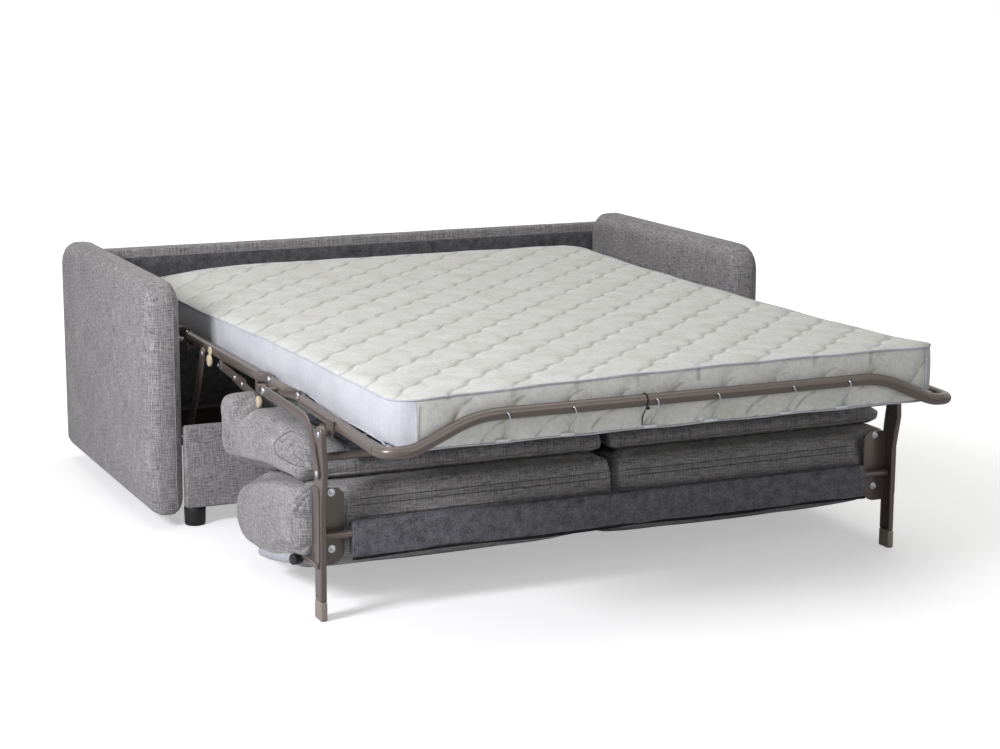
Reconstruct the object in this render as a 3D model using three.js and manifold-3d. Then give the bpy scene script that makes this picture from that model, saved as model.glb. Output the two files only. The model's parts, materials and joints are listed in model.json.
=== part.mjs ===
import * as THREE from 'three';
import { mergeVertices } from 'three/addons/utils/BufferGeometryUtils.js';
import Module from 'manifold-3d';

// Three-fold sleeper sofa, drawn open. Millimetres, Z up, the foot of the bed towards -Y.
// Depths are first measured from the front face of the arms, then centred by depthShift.

// Driving sizes
const arm = { outer: 911, thick: 95, depth: 920, low: 37, high: 650, edge: 24, corner: 34, bulge: 5 };
const frontRail = { near: 2, far: 29, low: 70, high: 270, edge: 8 };
const clear = 0.3;
const backPanel = { inset: 1, thick: 23.8, low: 37, high: 618, edge: 11 };
const lining = { thick: 3.4, low: 60, high: 574 };
const beam = { deep: 49.2, low: 76, high: 128 };
const foot = { radius: 29, lip: 5, fromArm: 31, nearY: 30, farInset: 59, nearTop: 69.7, farTop: 75.7 };
backPanel.far = arm.depth - backPanel.inset;
backPanel.near = backPanel.far - backPanel.thick;
lining.far = backPanel.near - clear;
lining.near = lining.far - lining.thick;
beam.far = lining.near - clear;
beam.near = beam.far - beam.deep;
foot.farY = arm.depth - foot.farInset;
const armInner = arm.outer - arm.thick;
const inner = armInner - clear;
foot.x = armInner - foot.fromArm;

const tube = { radius: 14, fromArm: 89, z: 465 };
tube.x = armInner - tube.fromArm;
const lug = { thick: 4, innerX: tube.x - tube.radius, setback: 18 };
lug.outerX = lug.innerX + lug.thick + clear;
const cross = { radius: 10, z: 440.7, frontInset: 30, rearInset: 60, headInset: 50, footInset: 70 };
cross.reach = tube.x + tube.radius;
const mesh = {
  low: 451, high: 454.7, overLug: 0.1, pitch: 118, wire: 5, step: 1, headGap: 30, footGap: 50,
};
mesh.halfWidth = lug.outerX - mesh.overLug;
mesh.footHalfWidth = lug.innerX - clear;
const mattress = { inside: 27, low: 455, high: 560, edge: 20, crown: 5, joint: 0.15, fullness: 12 };
mattress.halfWidth = tube.x - mattress.inside;
const head = { end: 760, railInset: 26 };
const headEnd = head.end;
const footEnd = -1183;

const hingeA = { y: 280, z: 465 };
const hingeB = { y: -410, z: 465 };
const hingeC = { y: -620, z: 465 };
const legPivot = { y: -900, z: 435 };
const strutPin = { y: -530, z: 465 };
const strutBend = { y: -840, z: 456 };
const strutFoot = { y: -900, z: 345 };
const midTravel = { y: 455, z: -360 };
const swingTurn = -138;
const swingTop = { y: 50, z: 452 };
const swingSpacing = 200;
const swingCrank = { y: 100, z: 350 };

const roller = { thick: 4, radius: 13, y: 0 };
const swing = { innerX: cross.reach + roller.thick + clear, thick: 6, width: 30, hub: 10 };
swing.rearX = swing.innerX + swing.thick + clear;
const leg = {
  outside: 31, wide: 14, near: -908, far: -866.2, belly: -926, bellyZ: 345, backZ: 310, head: 19,
  headShare: 1.39, capTop: 45, capGrow: 1, capRound: 4, capSole: 3,
};
leg.innerX = tube.x + leg.outside;
leg.outerX = leg.innerX + leg.wide;
const legLug = {
  innerX: cross.reach + clear, thick: 4, pinEnd: leg.innerX - clear, pin: 6, reach: 17, high: 467, drop: 14.6,
};
const strut = { innerX: leg.outerX + clear, thick: 5, width: 26, pin: 6 };
const sidePlate = { thick: 6.7, near: 60, low: 76, high: 214, lowTop: 118, boss: 12, behind: 4 };
sidePlate.outerX = inner;
sidePlate.innerX = sidePlate.outerX - sidePlate.thick;
sidePlate.far = beam.near - sidePlate.behind;
const bracket = { inside: 58, near: -878.7, far: leg.far, low: 120, high: 300, snip: 14, foot: 34 };
bracket.innerX = leg.innerX - bracket.inside;
bracket.outerX = leg.innerX - clear;
const lowBar = { y: -888, z: 195, radius: 9, channel: 10.5 };
const highBar = { y: -893, z: 380, radius: 9.5 };
const footBar = {
  y: -1200, radius: 14, low: 447, high: 516, kneeIn: 59, kneeZ: 451, crestIn: 215, cornerR: 42,
  railEnd: -1146,
  seat: 0.8,
};
footBar.kneeX = tube.x - footBar.kneeIn;
footBar.crestX = tube.x - footBar.crestIn;
const felt = { inside: 68, near: -902, far: -865.8, low: 140, high: 222, edge: 9 };
felt.halfWidth = leg.innerX - felt.inside;
const cushion = {
  fromArm: 16, split: 0.15, splitRound: 8, endRound: 26, crown: 8, ramp: 50,
  backTop: 240, backFront: -850, seatBack: -300,
};
cushion.halfWidth = armInner - cushion.fromArm;
const seatFelt = { near: -821, far: -390, low: 352.9, high: 373, inside: 6, edge: 6 };
seatFelt.halfWidth = leg.innerX - seatFelt.inside;
const tie = { rearY: 0, frontY: -350, rearZ: 428, frontZ: 426, radius: 6, topY: -46, x: tube.x };

// Seat and back outlines in depth and height, open position
const seatOutline = [
  [-812, 304.3], [-770, 304], [-670, 299], [-564, 291], [-428, 267], [-300, 246], [-256, 246],
  [-234, 268], [-230, 320], [-233, 380], [-250, 406], [-285, 414], [-322, 410], [-344, 396],
  [-354, 374], [-366, 352.6], [-400, 350.2], [-560, 352], [-700, 351.6], [-790, 350.2], [-812, 347.6],
  [-819, 340], [-820, 328], [-818, 316],
];
const backOutline = [
  [-850, 142], [-785, 116], [-710, 90], [-646, 70], [-560, 59], [-480, 57], [-405, 63], [-362, 86],
  [-342, 124], [-346, 168], [-376, 204], [-451, 234], [-560, 265], [-660, 288], [-760, 299], [-800, 303],
  [-846, 303.2], [-861, 294], [-865, 270], [-865, 220], [-865, 170], [-862, 150],
];

// Derived
const depthShift = -(footBar.y - footBar.radius + arm.depth) / 2;
const swingAngle = THREE.MathUtils.degToRad(swingTurn);

// The fixed pivot is where one turn carries the upper pin by midTravel
function fixedPivot(top) {
  const c = Math.cos(swingAngle) - 1;
  const s = Math.sin(swingAngle);
  const d = c * c + s * s;
  const y = (c * midTravel.y + s * midTravel.z) / d;
  const z = (c * midTravel.z - s * midTravel.y) / d;
  return { y: top.y - y, z: top.z - z };
}
const swingFoot = fixedPivot(swingTop);

const wasm = await Module();
wasm.setup();
const parts = [];

const paint = { color: 0x8a7f74, roughness: 0.35, metalness: 0.6 };
const weave = { color: 0x9a9a9c, roughness: 0.95, metalness: 0 };
const weaveDark = { color: 0x86868a, roughness: 0.95, metalness: 0 };
const feltPaint = { color: 0x4d5159, roughness: 1, metalness: 0 };
const black = { color: 0x17171a, roughness: 0.6, metalness: 0 };
const quilt = { color: 0xe6e4de, roughness: 0.9, metalness: 0 };
const wire = { color: 0xb9bcc0, roughness: 0.4, metalness: 0.8 };
const timber = { color: 0xb8935f, roughness: 0.7, metalness: 0 };
const capPaint = { color: 0xa8977f, roughness: 0.55, metalness: 0 };
const nylon = { color: 0xe8dcc0, roughness: 0.5, metalness: 0 };

function add(name, geometry, look) {
  const g = geometry.clone();
  g.translate(0, depthShift, 0);
  const m = new THREE.Mesh(g, new THREE.MeshStandardMaterial(look));
  m.name = name;
  parts.push(m);
}

// Solid joining
function toManifold(geometry) {
  let g = geometry.clone();
  Object.keys(g.attributes).forEach((k) => k !== 'position' && g.deleteAttribute(k));
  g = mergeVertices(g, 1e-4);
  return new wasm.Manifold(new wasm.Mesh({
    numProp: 3,
    vertProperties: new Float32Array(g.attributes.position.array),
    triVerts: new Uint32Array(g.index.array),
  }));
}
function fromManifold(solid) {
  const m = solid.getMesh();
  const g = new THREE.BufferGeometry();
  g.setAttribute('position', new THREE.BufferAttribute(new Float32Array(m.vertProperties), 3));
  g.setIndex(new THREE.BufferAttribute(new Uint32Array(m.triVerts), 1));
  return g;
}
function fuse(list) {
  return fromManifold(list.map(toManifold).reduce((a, b) => a.add(b)));
}
function cut(a, b) {
  return fromManifold(toManifold(a).subtract(toManifold(b)));
}

// Simple solids
function box(x0, x1, y0, y1, z0, z1) {
  const g = new THREE.BoxGeometry(x1 - x0, y1 - y0, z1 - z0);
  g.translate((x0 + x1) / 2, (y0 + y1) / 2, (z0 + z1) / 2);
  return g;
}
function rod(from, to, radius, sides) {
  const a = new THREE.Vector3(...from);
  const b = new THREE.Vector3(...to);
  const d = b.clone().sub(a);
  const g = new THREE.CylinderGeometry(radius, radius, d.length(), sides);
  const q = new THREE.Quaternion().setFromUnitVectors(new THREE.Vector3(0, 1, 0), d.normalize());
  g.applyQuaternion(q);
  g.translate((a.x + b.x) / 2, (a.y + b.y) / 2, (a.z + b.z) / 2);
  return g;
}
// A plate outlined in depth and height, between two side distances
function plate(points, x0, x1) {
  const shape = new THREE.Shape(points.map((p) => new THREE.Vector2(p[0], p[1])));
  const g = new THREE.ExtrudeGeometry(shape, { depth: Math.abs(x1 - x0), bevelEnabled: false });
  const m = new THREE.Matrix4().makeBasis(
    new THREE.Vector3(0, 1, 0), new THREE.Vector3(0, 0, 1), new THREE.Vector3(1, 0, 0),
  );
  g.applyMatrix4(m);
  g.translate(Math.min(x0, x1), 0, 0);
  return g;
}
// A flat bar with round ends along a line of pivots
function flatBar(pivots, width, x0, x1, sides) {
  const r = width / 2;
  const list = [];
  for (let i = 0; i + 1 < pivots.length; i += 1) {
    const [a, b] = [pivots[i], pivots[i + 1]];
    const turn = Math.atan2(b.z - a.z, b.y - a.y);
    const points = [];
    for (let k = 0; k <= sides; k += 1) {
      const t = turn + Math.PI / 2 + (Math.PI * k) / sides;
      points.push([a.y + r * Math.cos(t), a.z + r * Math.sin(t)]);
    }
    for (let k = 0; k <= sides; k += 1) {
      const t = turn - Math.PI / 2 + (Math.PI * k) / sides;
      points.push([b.y + r * Math.cos(t), b.z + r * Math.sin(t)]);
    }
    list.push(plate(points, x0, x1));
  }
  return list.length > 1 ? fuse(list) : list[0];
}
function mirrored(geometry) {
  let g = geometry.clone();
  Object.keys(g.attributes).forEach((k) => k !== 'position' && g.deleteAttribute(k));
  g = mergeVertices(g, 1e-4);
  const p = g.attributes.position;
  for (let i = 0; i < p.count; i += 1) p.setX(i, -p.getX(i));
  const ix = g.index.array;
  for (let i = 0; i < ix.length; i += 3) [ix[i + 1], ix[i + 2]] = [ix[i + 2], ix[i + 1]];
  return g;
}
function pair(name, geometry, look) {
  add(`${name}_right`, geometry, look);
  add(`${name}_left`, mirrored(geometry), look);
}

// Padded solids: an outline carried along an axis, its ends rounded and its middle swollen
function smoothClosed(points, count) {
  const curve = new THREE.CatmullRomCurve3(
    points.map((p) => new THREE.Vector3(p[0], p[1], 0)), true, 'centripetal',
  );
  return curve.getSpacedPoints(count).slice(0, count).map((p) => [p.x, p.y]);
}
function roundedOutline(u0, u1, v0, v1, radii, steps) {
  const out = [];
  const centres = [
    [u1 - radii[0], v0 + radii[0], -Math.PI / 2, radii[0]],
    [u1 - radii[1], v1 - radii[1], 0, radii[1]],
    [u0 + radii[2], v1 - radii[2], Math.PI / 2, radii[2]],
    [u0 + radii[3], v0 + radii[3], Math.PI, radii[3]],
  ];
  centres.forEach(([cu, cv, start, r]) => {
    for (let k = 0; k <= steps; k += 1) {
      const t = start + (Math.PI / 2) * (k / steps);
      out.push([cu + r * Math.cos(t), cv + r * Math.sin(t)]);
    }
  });
  return out;
}
function outwardNormals(points) {
  const n = points.length;
  const area = points.reduce((s, p, i) => {
    const q = points[(i + 1) % n];
    return s + p[0] * q[1] - q[0] * p[1];
  }, 0);
  const sign = area > 0 ? 1 : -1;
  return points.map((p, i) => {
    const a = points[(i + n - 1) % n];
    const b = points[(i + 1) % n];
    const d = Math.hypot(b[0] - a[0], b[1] - a[1]) || 1;
    return [(sign * (b[1] - a[1])) / d, (-sign * (b[0] - a[0])) / d];
  });
}
// Ear clipping that keeps every point of the outline
function clipEars(pts) {
  const cross2 = (a, b, c) => (b.x - a.x) * (c.y - a.y) - (b.y - a.y) * (c.x - a.x);
  const sign = THREE.ShapeUtils.area(pts) > 0 ? 1 : -1;
  const left = pts.map((_, i) => i);
  const out = [];
  while (left.length > 3) {
    let [best, score] = [-1, -Infinity];
    for (let i = 0; i < left.length; i += 1) {
      const [ia, ib, ic] = [left[(i + left.length - 1) % left.length], left[i], left[(i + 1) % left.length]];
      const [a, b, c] = [pts[ia], pts[ib], pts[ic]];
      const area = sign * cross2(a, b, c);
      const blocked = area <= 0 || left.some((k) => k !== ia && k !== ib && k !== ic
        && sign * cross2(a, b, pts[k]) >= 0 && sign * cross2(b, c, pts[k]) >= 0
        && sign * cross2(c, a, pts[k]) >= 0);
      const longest = Math.max(a.distanceTo(b), b.distanceTo(c), c.distanceTo(a));
      const value = blocked ? -Infinity : area / (longest * longest);
      if (value > score) [best, score] = [i, value];
    }
    if (best < 0) throw new Error('an outline crosses itself');
    const n = left.length;
    out.push([left[(best + n - 1) % n], left[best], left[(best + 1) % n]]);
    left.splice(best, 1);
  }
  out.push([left[0], left[1], left[2]]);
  return sign > 0 ? out : out.map(([i, k, m]) => [i, m, k]);
}
// place maps (outline u, outline v, distance along) to x, y, z; swell(p, s) gives the growth
const domeShares = [0.82, 0.55, 0.25];
function carry(points, from, to, opts, place) {
  const { round0 = 0, round1 = 0, ring = 5, middle = 6, swell = () => 0, dome = 0, fan = false } = opts;
  const normals = outwardNormals(points);
  const [us, vs] = [points.map((p) => p[0]), points.map((p) => p[1])];
  const mid = [(Math.max(...us) + Math.min(...us)) / 2, (Math.max(...vs) + Math.min(...vs)) / 2];
  const half = [(Math.max(...us) - Math.min(...us)) / 2, (Math.max(...vs) - Math.min(...vs)) / 2];
  const drawnIn = (p, i, inset) => (opts.shrink
    ? [mid[0] + (p[0] - mid[0]) * (1 - inset / half[0]), mid[1] + (p[1] - mid[1]) * (1 - inset / half[1])]
    : [p[0] - normals[i][0] * inset, p[1] - normals[i][1] * inset]);
  const stations = [];
  for (let k = 0; k <= (round0 ? ring : 0); k += 1) {
    const t = (Math.PI / 2) * (round0 ? k / ring : 1);
    stations.push([from + round0 * (1 - Math.cos(t)), round0 * (1 - Math.sin(t))]);
  }
  const a = from + round0;
  const b = to - round1;
  for (let k = 1; k < middle; k += 1) stations.push([a + ((b - a) * k) / middle, 0]);
  for (let k = (round1 ? ring : 0); k >= 0; k -= 1) {
    const t = (Math.PI / 2) * (round1 ? k / ring : 1);
    stations.push([to - round1 * (1 - Math.cos(t)), round1 * (1 - Math.sin(t))]);
  }
  const n = points.length;
  const verts = [];
  stations.forEach(([along, inset]) => {
    const s = (along - from) / (to - from);
    points.forEach((p, i) => {
      const grow = swell(p, s);
      const q = drawnIn(p, i, inset);
      verts.push(place(q[0] + normals[i][0] * grow, q[1] + normals[i][1] * grow, along));
    });
  });
  const index = [];
  for (let k = 0; k + 1 < stations.length; k += 1) {
    for (let i = 0; i < n; i += 1) {
      const j = (i + 1) % n;
      const [p, q, r, t] = [k * n + i, k * n + j, (k + 1) * n + j, (k + 1) * n + i];
      index.push(p, q, r, p, r, t);
    }
  }
  const cap = (start, along, out, flip, bulge) => {
    const ringPts = [];
    for (let i = 0; i < n; i += 1) ringPts.push(start + i);
    const shape = stations[start / n][1];
    const base = points.map((p, i) => new THREE.Vector2(...drawnIn(p, i, shape)));
    if (bulge > 0) {
      const cu = base.reduce((x, p) => x + p.x, 0) / n;
      const cv = base.reduce((x, p) => x + p.y, 0) / n;
      let last = ringPts;
      domeShares.forEach((share) => {
        const rise = bulge * (1 - share * share);
        const next = base.map((p) => {
          verts.push(place(cu + (p.x - cu) * share, cv + (p.y - cv) * share, along + out * rise));
          return verts.length - 1;
        });
        for (let i = 0; i < n; i += 1) {
          const j = (i + 1) % n;
          if (flip) index.push(last[i], next[i], next[j], last[i], next[j], last[j]);
          else index.push(last[i], last[j], next[j], last[i], next[j], next[i]);
        }
        last = next;
      });
      verts.push(place(cu, cv, along + out * bulge));
      const c = verts.length - 1;
      for (let i = 0; i < n; i += 1) {
        const j = (i + 1) % n;
        if (flip) index.push(last[j], last[i], c);
        else index.push(last[i], last[j], c);
      }
      return;
    }
    if (fan) {
      const cu = base.reduce((x, p) => x + p.x, 0) / n;
      const cv = base.reduce((x, p) => x + p.y, 0) / n;
      verts.push(place(cu, cv, along));
      const c = verts.length - 1;
      for (let i = 0; i < n; i += 1) {
        const k = (i + 1) % n;
        if (flip) index.push(ringPts[k], ringPts[i], c);
        else index.push(ringPts[i], ringPts[k], c);
      }
      return;
    }
    clipEars(base).forEach(([i, j, k]) => {
      if (flip) index.push(ringPts[i], ringPts[k], ringPts[j]);
      else index.push(ringPts[i], ringPts[j], ringPts[k]);
    });
  };
  cap(0, from, -1, true, 0);
  cap((stations.length - 1) * n, to, 1, false, dome);
  const g = new THREE.BufferGeometry();
  g.setAttribute('position', new THREE.Float32BufferAttribute(verts.flat(), 3));
  g.setIndex(index);
  return facingOut(g);
}
function facingOut(g) {
  const p = g.attributes.position;
  const ix = g.index.array;
  let volume = 0;
  const [a, b, c] = [new THREE.Vector3(), new THREE.Vector3(), new THREE.Vector3()];
  for (let i = 0; i < ix.length; i += 3) {
    a.fromBufferAttribute(p, ix[i]);
    b.fromBufferAttribute(p, ix[i + 1]);
    c.fromBufferAttribute(p, ix[i + 2]);
    volume += a.dot(b.cross(c));
  }
  if (volume < 0) {
    for (let i = 0; i < ix.length; i += 3) [ix[i + 1], ix[i + 2]] = [ix[i + 2], ix[i + 1]];
  }
  return g;
}
const alongX = (u, v, w) => [w, u, v];
const alongY = (u, v, w) => [u, w, v];
const alongZ = (u, v, w) => [u, v, w];

// Upholstered base
pair('arm', carry(
  roundedOutline(0, arm.depth, arm.low, arm.high, [arm.edge, arm.corner, arm.corner, arm.edge], 5),
  armInner, arm.outer - arm.bulge,
  { round0: arm.edge, round1: arm.edge, middle: 2, dome: arm.bulge, fan: true }, alongX,
), weave);
add('front_rail', carry(
  roundedOutline(frontRail.near, frontRail.far, frontRail.low, frontRail.high,
    [frontRail.edge, frontRail.edge, frontRail.edge, frontRail.edge], 3),
  -inner, inner, { middle: 1 }, alongX,
), weaveDark);
add('back_panel', carry(
  roundedOutline(backPanel.near, backPanel.far, backPanel.low, backPanel.high,
    [backPanel.edge / 3, backPanel.edge, backPanel.edge, backPanel.edge / 3], 4),
  -inner, inner, { middle: 1 }, alongX,
), weave);
const liningX = inner - clear;
add('back_lining', box(-liningX, liningX, lining.near, lining.far, lining.low, lining.high), black);
add('rear_beam', box(-sidePlate.innerX + clear, sidePlate.innerX - clear,
  beam.near, beam.far, beam.low, beam.high), timber);
function footSolid(top, y) {
  const p = [
    [0, 0], [foot.radius - foot.lip, 0], [foot.radius - foot.lip / 3, foot.lip / 2],
    [foot.radius, foot.lip * 2], [foot.radius, top], [0, top],
  ].map((q) => new THREE.Vector2(q[0], q[1]));
  const g = new THREE.LatheGeometry(p, 24);
  g.rotateX(Math.PI / 2);
  g.translate(foot.x, y, 0);
  return g;
}
function closedLathe(g) {
  let h = g.clone();
  Object.keys(h.attributes).forEach((k) => k !== 'position' && h.deleteAttribute(k));
  h = mergeVertices(h, 1e-3);
  const keep = [];
  const ix = h.index.array;
  for (let i = 0; i < ix.length; i += 3) {
    const [a, b, c] = [ix[i], ix[i + 1], ix[i + 2]];
    if (a !== b && b !== c && a !== c) keep.push(a, b, c);
  }
  h.setIndex(keep);
  return facingOut(h);
}
pair('foot_front', closedLathe(footSolid(foot.nearTop, foot.nearY)), black);
pair('foot_rear', closedLathe(footSolid(foot.farTop, foot.farY)), black);

const rearFoot = { y: swingFoot.y + swingSpacing, z: swingFoot.z };
const bossEnd = (inner) => inner + swing.thick + clear;
pair('side_plate', fuse([
  plate([
    [sidePlate.near, sidePlate.low], [sidePlate.far, sidePlate.low],
    [sidePlate.far, sidePlate.lowTop], [rearFoot.y + swing.width, sidePlate.high],
    [swingFoot.y - swing.width, sidePlate.high],
    [sidePlate.near, sidePlate.lowTop],
  ], sidePlate.innerX, sidePlate.outerX),
  rod([bossEnd(swing.innerX), swingFoot.y, swingFoot.z],
    [sidePlate.innerX + clear, swingFoot.y, swingFoot.z], sidePlate.boss, 16),
  rod([bossEnd(swing.rearX), rearFoot.y, rearFoot.z],
    [sidePlate.innerX + clear, rearFoot.y, rearFoot.z], sidePlate.boss, 16),
]), paint);

// Swing arms that carry the middle frame over and back
function swingArm(shift, x) {
  const pivots = [swingTop, swingCrank, swingFoot].map((p) => ({ y: p.y + shift, z: p.z }));
  const top = pivots[0];
  return fuse([
    flatBar(pivots, swing.width, x, x + swing.thick, 8),
    rod([tube.x + tube.radius + clear, top.y, top.z], [x + clear, top.y, top.z], swing.hub, 16),
  ]);
}
pair('swing_arm_front', swingArm(0, swing.innerX), paint);
pair('swing_arm_rear', swingArm(swingSpacing, swing.rearX), paint);

// Frame rails end in flat lugs, one frame's beside the next one's
function sideRail(y0, z0, y1, z1, lugs, extra) {
  const list = [rod([tube.x, y0, z0], [tube.x, y1, z1], tube.radius, 20)];
  lugs.forEach(([pivot, x, towards]) => {
    const root = { y: pivot.y + Math.sign(towards) * (lug.setback + tube.radius / 2), z: pivot.z };
    list.push(flatBar([pivot, root], tube.radius * 2 - clear, x, x + lug.thick, 8));
  });
  return fuse(list.concat(extra || []));
}
pair('mid_rail', sideRail(hingeB.y + lug.setback, tube.z, hingeA.y - lug.setback, tube.z,
  [[hingeB, lug.innerX, 1], [hingeA, lug.innerX, -1]]), paint);
function crossTube(y, z) {
  return rod([-cross.reach, y, z], [cross.reach, y, z], cross.radius, 14);
}
add('mid_cross_tube_front', crossTube(hingeB.y + cross.frontInset, cross.z), paint);
add('mid_cross_tube_rear', crossTube(hingeA.y - cross.rearInset, cross.z), paint);
const tieTop = tube.z - tube.radius - clear;
pair('tie_rod', fuse([
  rod([tie.x, tie.rearY, tie.rearZ], [tie.x, tie.frontY, tie.frontZ], tie.radius, 10),
  rod([tie.x, tie.topY, tie.frontZ], [tie.x, tie.topY, tieTop], tie.radius, 10),
  rod([tie.x, tie.frontY + tie.radius * 2, tie.frontZ], [tie.x, tie.frontY + tie.radius * 2, tieTop],
    tie.radius, 10),
]), paint);

// Wire support grids
function grid(y0, y1, half) {
  const nx = Math.round((2 * half) / mesh.pitch);
  const ny = Math.max(1, Math.round((y1 - y0) / mesh.pitch));
  const list = [];
  for (let i = 0; i <= nx; i += 1) {
    const x = -half + ((2 * half - mesh.wire) * i) / nx;
    list.push(box(x, x + mesh.wire, y0, y1, mesh.low, mesh.high - mesh.step));
  }
  for (let k = 0; k <= ny; k += 1) {
    const y = y0 + mesh.step + ((y1 - y0 - mesh.wire - 2 * mesh.step) * k) / ny;
    list.push(box(mesh.step - half, half - mesh.step, y, y + mesh.wire, mesh.low + mesh.step, mesh.high));
  }
  return fuse(list);
}
const meshStart = lug.setback + tube.radius * 1.7;
add('support_mesh_mid', grid(hingeB.y + meshStart, hingeA.y - meshStart, mesh.halfWidth), wire);
add('support_mesh_head', grid(hingeA.y + meshStart, headEnd - mesh.headGap, mesh.halfWidth), wire);
add('support_mesh_foot', grid(footEnd + mesh.footGap, hingeC.y - meshStart, mesh.footHalfWidth), wire);

// Mattress in five runs, the two over the folds bending
function mattressRun(y0, y1, opts) {
  const h = mattress;
  const outline = roundedOutline(-h.halfWidth, h.halfWidth, h.low, h.high,
    [h.edge, h.edge, h.edge, h.edge], 4);
  const top = [];
  outline.forEach((p, i) => {
    top.push(p);
    const q = outline[(i + 1) % outline.length];
    if (Math.abs(q[0] - p[0]) > h.halfWidth) {
      for (let k = 1; k < 6; k += 1) {
        top.push([p[0] + ((q[0] - p[0]) * k) / 6, p[1]]);
      }
    }
  });
  const swell = (p) => (p[1] > h.high - h.joint ? h.crown * (1 - (p[0] / h.halfWidth) ** 2) : 0);
  return carry(top, y0, y1, { ...opts, swell, fan: true, ring: 4 }, alongY);
}
const j = mattress.joint;
const foldLength = mattress.high - hingeA.z + mattress.fullness;
add('mattress_head', mattressRun(hingeA.y + foldLength + j, headEnd,
  { round1: mattress.edge, middle: 2 }), quilt);
add('mattress_fold_rear', mattressRun(hingeA.y + j, hingeA.y + foldLength - j, { middle: 1 }), quilt);
add('mattress_mid', mattressRun(hingeB.y + lug.setback, hingeA.y - j, { middle: 3 }), quilt);
add('mattress_fold_front', mattressRun(hingeC.y, hingeB.y + lug.setback - j * 2, { middle: 2 }), quilt);
add('mattress_foot', mattressRun(footEnd, hingeC.y - j * 2, { round0: mattress.edge, middle: 3 }), quilt);

// Head frame
pair('head_rail', sideRail(hingeA.y + lug.setback, tube.z, headEnd - head.railInset, tube.z,
  [[hingeA, lug.outerX, 1]]), paint);
add('head_cross_tube', crossTube(headEnd - cross.headInset, cross.z), paint);

// Fold links
pair('fold_link', sideRail(hingeC.y + lug.setback, tube.z, hingeB.y - lug.setback, tube.z,
  [[hingeB, lug.outerX, -1], [hingeC, lug.outerX, 1]],
  [rod([tube.x, strutPin.y, strutPin.z], [strut.innerX - clear, strutPin.y, strutPin.z], strut.pin, 12)]),
paint);

// Foot frame
const railDrop = tube.z - footBar.low;
pair('foot_rail', sideRail(footBar.railEnd, tube.z - railDrop, hingeC.y - lug.setback, tube.z,
  [[hingeC, lug.innerX, -1]]), paint);
function bentTube(points, radius, bend, steps, sides) {
  const path = new THREE.CurvePath();
  const v = points.map((p) => new THREE.Vector3(...p));
  let from = v[0];
  for (let i = 1; i + 1 < v.length; i += 1) {
    const back = v[i - 1].clone().sub(v[i]);
    const on = v[i + 1].clone().sub(v[i]);
    const r = Math.min(bend, back.length() / 2.1, on.length() / 2.1);
    const a = v[i].clone().add(back.setLength(r));
    const b = v[i].clone().add(on.setLength(r));
    path.add(new THREE.LineCurve3(from, a));
    path.add(new THREE.QuadraticBezierCurve3(a, v[i], b));
    from = b;
  }
  path.add(new THREE.LineCurve3(from, v[v.length - 1]));
  const shape = new THREE.Shape();
  for (let k = 0; k < sides; k += 1) {
    const t = (2 * Math.PI * k) / sides;
    const [x, y] = [radius * Math.cos(t), radius * Math.sin(t)];
    if (k === 0) shape.moveTo(x, y);
    else shape.lineTo(x, y);
  }
  shape.closePath();
  return new THREE.ExtrudeGeometry(shape, { steps, bevelEnabled: false, extrudePath: path });
}
{
  const f = footBar;
  const half = [
    [f.crestX, f.y, f.high], [f.kneeX, f.y, f.kneeZ], [tube.x, f.y, f.low],
    [tube.x, f.railEnd - f.seat, f.low],
  ];
  const left = half.map(([x, y, z]) => [-x, y, z]).reverse();
  add('foot_bar', cleanSolid(bentTube(left.concat(half), f.radius, f.cornerR, 56, 12)), paint);
}
function cleanSolid(g) {
  return fromManifold(toManifold(g));
}
const footCrossY = legPivot.y + cross.footInset;
const railSlope = railDrop / (hingeC.y - lug.setback - footBar.railEnd);
const footCrossZ = tube.z - railDrop + (footCrossY - footBar.railEnd) * railSlope
  - tube.radius - cross.radius - clear;
add('foot_cross_tube', crossTube(footCrossY, footCrossZ), paint);
pair('leg_lug', fuse([
  plate([
    [legPivot.y - legLug.reach, legPivot.z], [legPivot.y - legLug.reach / 2, legPivot.z - legLug.drop],
    [legPivot.y + legLug.reach / 2, legPivot.z - legLug.drop], [legPivot.y + legLug.reach, legPivot.z],
    [legPivot.y + legLug.reach * 1.6, legLug.high], [legPivot.y - legLug.reach * 1.6, legLug.high],
  ], legLug.innerX, legLug.innerX + legLug.thick),
  rod([legLug.innerX + clear, legPivot.y, legPivot.z], [legLug.pinEnd, legPivot.y, legPivot.z],
    legLug.pin, 12),
]), paint);

// Legs, their bars and the folded-under backrest
pair('leg', flatLeg(), paint);
// The pressed leg widens upwards, then narrows to a round head on its pivot
function flatLeg() {
  const points = [[leg.near, leg.capTop + clear], [leg.far, leg.capTop + clear], [leg.far, leg.backZ]];
  const turn = Math.PI * leg.headShare;
  const steps = 12;
  for (let k = 0; k <= steps; k += 1) {
    const t = (Math.PI - turn) / 2 + (turn * k) / steps;
    points.push([legPivot.y + leg.head * Math.cos(t), legPivot.z + leg.head * Math.sin(t)]);
  }
  points.push([leg.belly, leg.bellyZ]);
  return plate(points, leg.innerX, leg.outerX);
}
{
  const g = leg.capGrow;
  const c = leg.capRound;
  const sole = roundedOutline(leg.innerX - g, leg.outerX + g, leg.near - g, leg.far + g, [c, c, c, c], 2);
  pair('leg_cap', carry(sole, 0, leg.capTop, { round0: leg.capSole, ring: 2, middle: 1 }, alongZ), capPaint);
}
{
  const b = bracket;
  const web = [
    [b.low + b.foot, b.innerX], [b.high - b.snip, b.innerX], [b.high, b.innerX + b.snip], [b.high, b.outerX],
    [b.low, b.outerX], [b.low, b.innerX + b.foot],
  ];
  pair('leg_bracket', carry(web, b.near, b.far, { middle: 1 }, (u, v, w) => [v, w, u]), paint);
}
const barX = leg.innerX - clear;
add('lower_crossbar', rod([-barX, lowBar.y, lowBar.z], [barX, lowBar.y, lowBar.z], lowBar.radius, 14), paint);
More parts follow.
